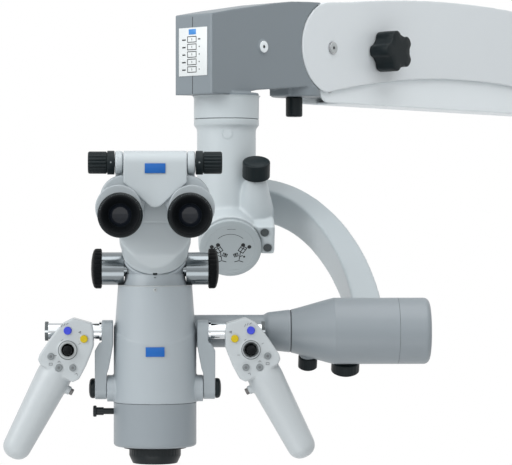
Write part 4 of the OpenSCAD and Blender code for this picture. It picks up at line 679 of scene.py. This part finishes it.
STICK_BOOT = [(0, 11.6), (1.7, 11.4), (3.2, 10.5), (4.2, 8.9), (4.5, 7.0), (4.1, 5.0), (3.2, 3.6),
              (2.4, 2.6), (2.4, 1.2), (3.4, 0.4), (5.0, -1.4), (5.6, -3.6), (0, -3.6)]
COLLAR = [(3.4, 0.1), (3.8, 0.1), (4.3, -0.5), (4.4, -4.5), (5.2, -8.0), (3.4, -8.0)]
CAP_FLUSH = 7.9   # where a bracket knob's head starts on its stem
CAP_HEAD = 5.8    # and how high the head is
BRACKET_CAP = [(0, 0), (2.9, 0), (2.9, CAP_FLUSH), (9.6, CAP_FLUSH), (10, CAP_FLUSH + 0.5),
               (10, CAP_FLUSH + 2.6), (9.2, CAP_FLUSH + 4.2), (7.0, CAP_FLUSH + 5.2),
               (3.5, CAP_FLUSH + 5.7), (0, CAP_FLUSH + CAP_HEAD)]


def handle_front(x, z):
    """The place of a handle's front face at this x and z of the frame."""
    return Vector((x, at(0, HANDLE_FACE, 0).y, z))


def shaft_ring(word):
    """The profile of the dark ring on a handle shaft's end."""
    low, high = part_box(word + "_handle_shaft")
    r = (high.z - low.z) / 2 / MM
    return [(r + 0.02, -0.1), (r + 0.03, -0.4), (r + 0.03, -3.2), (r - 0.2, -3.3), (r - 0.2, -0.1),
            (r + 0.02, -0.1)]


def joystick_details(word, face):
    """The joystick's ring and boot. The right ring isn't like the left: it is thin as a shaft's."""
    handle = word + "_handle"
    ring = STICK_RING if word == "left" else shaft_ring("left")
    # The groove round the ring and the well round the boot are dark: painted shade in the hollows
    lathe(word + "_joystick_groove", STICK_GROOVE, face, handle, "dark_casting", "painted_shade_and_dark_ring", steps=64)
    lathe(word + "_joystick_ring", ring, face, handle, "grey_plastic", "stick_ring", steps=64)
    lathe(word + "_joystick_well", STICK_WELL, face, handle, "dark_casting", "painted_shade_and_dark_ring", steps=64)
    boot = lathe(word + "_joystick_boot", STICK_BOOT, face, word + "_joystick", "black_rubber",
                 steps=64, angle=60)
    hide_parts(word + "_joystick")


def button_cap(node):
    """A button with a round edge, and the rim that it comes out of."""
    low, high, middle = box_middle(node)
    r = (high.x - low.x) / 2 / MM
    depth = (high.y - low.y) / MM
    m = axes(Vector((middle.x, high.y, middle.z)), RIGHT, FRONT)
    prof = ([(0, 0), (r, 0), (r, depth - 1.2)] + round_top(r, depth, 0.9)[1:]
            + [(r * 0.6, depth - 0.1), (0, depth - 0.35)])
    obj = lathe(node + "_cap", prof, m, node, slot_named(node), steps=48, angle=50)
    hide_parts(node)
    rim = [(r + 0.1, -0.6), (r + 0.1, 0.03), (r + 1.0, 0.03), (r + 1.5, -0.3)]
    face = axes(handle_front(m.translation.x, m.translation.z), RIGHT, FRONT)
    lathe(node + "_rim", rim, face, node.split("_")[0] + "_handle", "pale_paint", "handle_white", steps=48)
    if "grey" in node:
        mark = [(0, depth - 0.2), (r * 0.42, depth - 0.2), (r * 0.40, depth + 0.02), (0, depth + 0.05)]
        lathe(node + "_mark", mark, m, node, "grey_plastic", "ink_grey", steps=24)


def handle_marks(word, face):
    bm = bmesh.new()
    for line in STICK_MARKS:
        strokes(bm, shift(face, 0, 0, MARK_LIFT), line, MARK_WIDTH, MARK_HIGH)
    for button, lines in HANDLE_MARKS.items():
        node = word + "_" + button
        middle = box_middle(node)[2]
        spot = axes(handle_front(middle.x, middle.z), RIGHT, FRONT)
        for line in lines:
            strokes(bm, shift(spot, 0, 0, MARK_LIFT), line, MARK_WIDTH, MARK_HIGH)
        button_cap(node)
    new_piece(word + "_handle_marks", bm, word + "_handle", "grey_plastic", "ink_grey")


def trigger_collar(word):
    """The round collar that the trigger button comes out of."""
    out = -Vector(joints[word + "_trigger_press"]["axis"])
    low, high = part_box(word + "_trigger")
    middle = (low + high) / 2
    reach = max((Vector((x, 0, z)) - middle).dot(out) for x in (low.x, high.x) for z in (low.z, high.z))
    tip = middle + out * (reach - 3.3 * MM * (abs(out.z) + abs(out.x) - 1))
    m = axes(tip - out * 4.4 * MM, FRONT, out)
    lathe(word + "_trigger_collar", COLLAR, m, word + "_handle", "pale_paint", "handle_white", steps=48)


def bracket_cap(side, word):
    node = word + "_bracket_knob"
    low, high, middle = box_middle(node)
    inner = high.x if side < 0 else low.x
    m = axes(Vector((inner, middle.y, middle.z)), UP, (side, 0, 0))
    length = (high.x - low.x) / MM
    prof = [(r, z + length - CAP_FLUSH - CAP_HEAD if z > 0 else 0) for r, z in BRACKET_CAP]
    obj = lathe(word + "_bracket_cap", prof, m, node, "black_plastic")
    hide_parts(node)


def shaft_end(side, word):
    """A dark ring on the handle shaft's end, and the bright slot in front of it."""
    node = word + "_handle_shaft"
    low, high, middle = box_middle(node)
    end = Vector((low.x if side < 0 else high.x, middle.y, middle.z))
    r = (high.z - low.z) / 2 / MM
    body = body_named(node)
    m = axes(end, UP, (side, 0, 0))
    lathe(word + "_shaft_end", shaft_ring(word), m, body, "dark_casting", "painted_shade_and_dark_ring", steps=64)
    front = axes(end + Vector((-side * 1.7, -r + 0.25, 0)) * MM, RIGHT, FRONT)
    plate(word + "_shaft_slot", front, 3.4, 2.0, 0.32, body, "chrome", "link_white", 0.0)


def handle_details():
    for side, word in SIDES:
        stick = joint_pos(word + "_joystick_tip")
        face = axes(handle_front(stick.x, stick.z), RIGHT, FRONT)
        joystick_details(word, face)
        handle_marks(word, face)
        trigger_collar(word)
        bracket_cap(side, word)
        shaft_end(side, word)


# Camera, light and stage
CAMERA_AWAY, CAMERA_HEIGHT, CAMERA_YAW = 2500.0, 98.0, 2.311
SENSOR = 36.0
PICTURE_WIDTH = 512   # one pixel is one millimetre at the optical axis
AIM = (60, 60, 80)
# Name, place, size in metres and power in watts
LAMPS = (
    ("key", (-1800, -1200, 1200), 1.8, 33),
    ("front", (-100, -1900, 1400), 2.6, 14),
    ("top", (500, -400, 1800), 1.6, 16),
    ("under", (-200, -900, -1000), 1.2, 6.5),
)
AMBIENT = 0.50
FLOOR_PLACE, FLOOR_RADIUS = (200, 300, -1050), 7.0
FLOOR_SHARE = 0.6     # share of white on the floor, and the rest shows the shadow


def build_camera():
    data = bpy.data.cameras.new("camera")
    cam = bpy.data.objects.new("camera", data)
    bpy.context.scene.collection.objects.link(cam)
    cam.location = at(0, -CAMERA_AWAY, CAMERA_HEIGHT)
    cam.rotation_euler = (math.radians(90), 0, math.radians(-CAMERA_YAW))
    data.sensor_width = SENSOR
    data.lens = data.sensor_width * CAMERA_AWAY / PICTURE_WIDTH
    data.clip_end = 100
    bpy.context.scene.camera = cam


def lamp(name, place, target, size, power):
    data = bpy.data.lights.new(name, "AREA")
    data.size = size
    data.energy = power
    obj = bpy.data.objects.new(name, data)
    obj.location = place
    obj.rotation_euler = (target - place).to_track_quat("-Z", "Y").to_euler()
    bpy.context.scene.collection.objects.link(obj)


def white_where_seen(tree, shade_node, target, share=1.0):
    """Camera, glossy and transmission rays see this share of white, all other rays the plain shade."""
    new, join = tree.nodes.new, tree.links.new
    path = new("ShaderNodeLightPath")
    seen = path.outputs["Is Camera Ray"]
    for word in ("Is Glossy Ray", "Is Transmission Ray"):
        total = new("ShaderNodeMath")
        total.operation = "ADD"
        total.use_clamp = True
        join(seen, total.inputs[0])
        join(path.outputs[word], total.inputs[1])
        seen = total.outputs["Value"]
    part = new("ShaderNodeMath")
    part.operation = "MULTIPLY"
    join(seen, part.inputs[0])
    part.inputs[1].default_value = share
    mix = new("ShaderNodeMixShader")
    in_world = target.bl_idname == "ShaderNodeOutputWorld"
    glow = new("ShaderNodeBackground" if in_world else "ShaderNodeEmission")
    glow.inputs["Color"].default_value = (1, 1, 1, 1)
    join(part.outputs["Value"], mix.inputs["Fac"])
    join(shade_node.outputs[0], mix.inputs[1])
    join(glow.outputs[0], mix.inputs[2])
    join(mix.outputs[0], target.inputs["Surface"])


def build_floor():
    bm = bmesh.new()
    bmesh.ops.create_circle(bm, cap_ends=True, segments=64, radius=FLOOR_RADIUS)
    mesh = bpy.data.meshes.new("floor")
    bm.to_mesh(mesh)
    bm.free()
    floor = bpy.data.objects.new("floor", mesh)
    floor.location = at(*FLOOR_PLACE)
    paint = finish_of("floor_paint", (0.88, 0.88, 0.88), 0.7, shade=0.01)
    tree = paint.node_tree
    white_where_seen(tree, tree.nodes["Principled BSDF"], tree.nodes["Material Output"], FLOOR_SHARE)
    mesh.materials.append(paint)
    bpy.context.scene.collection.objects.link(floor)


def build_stage():
    scene = bpy.context.scene
    scene.view_settings.view_transform = "Standard"
    world = bpy.data.worlds.new("studio")
    world.use_nodes = True
    scene.world = world
    ambient = world.node_tree.nodes["Background"]
    ambient.inputs["Color"].default_value = (1, 1, 1, 1)
    ambient.inputs["Strength"].default_value = AMBIENT
    white_where_seen(world.node_tree, ambient, world.node_tree.nodes["World Output"])
    for name, place, size, power in LAMPS:
        lamp(name, at(*place), at(*AIM), size, power)
    build_floor()


dress_nodes()
arm_details()
neck_details()
pitch_details()
body_details()
tube_details()
handle_details()
build_camera()
build_stage()
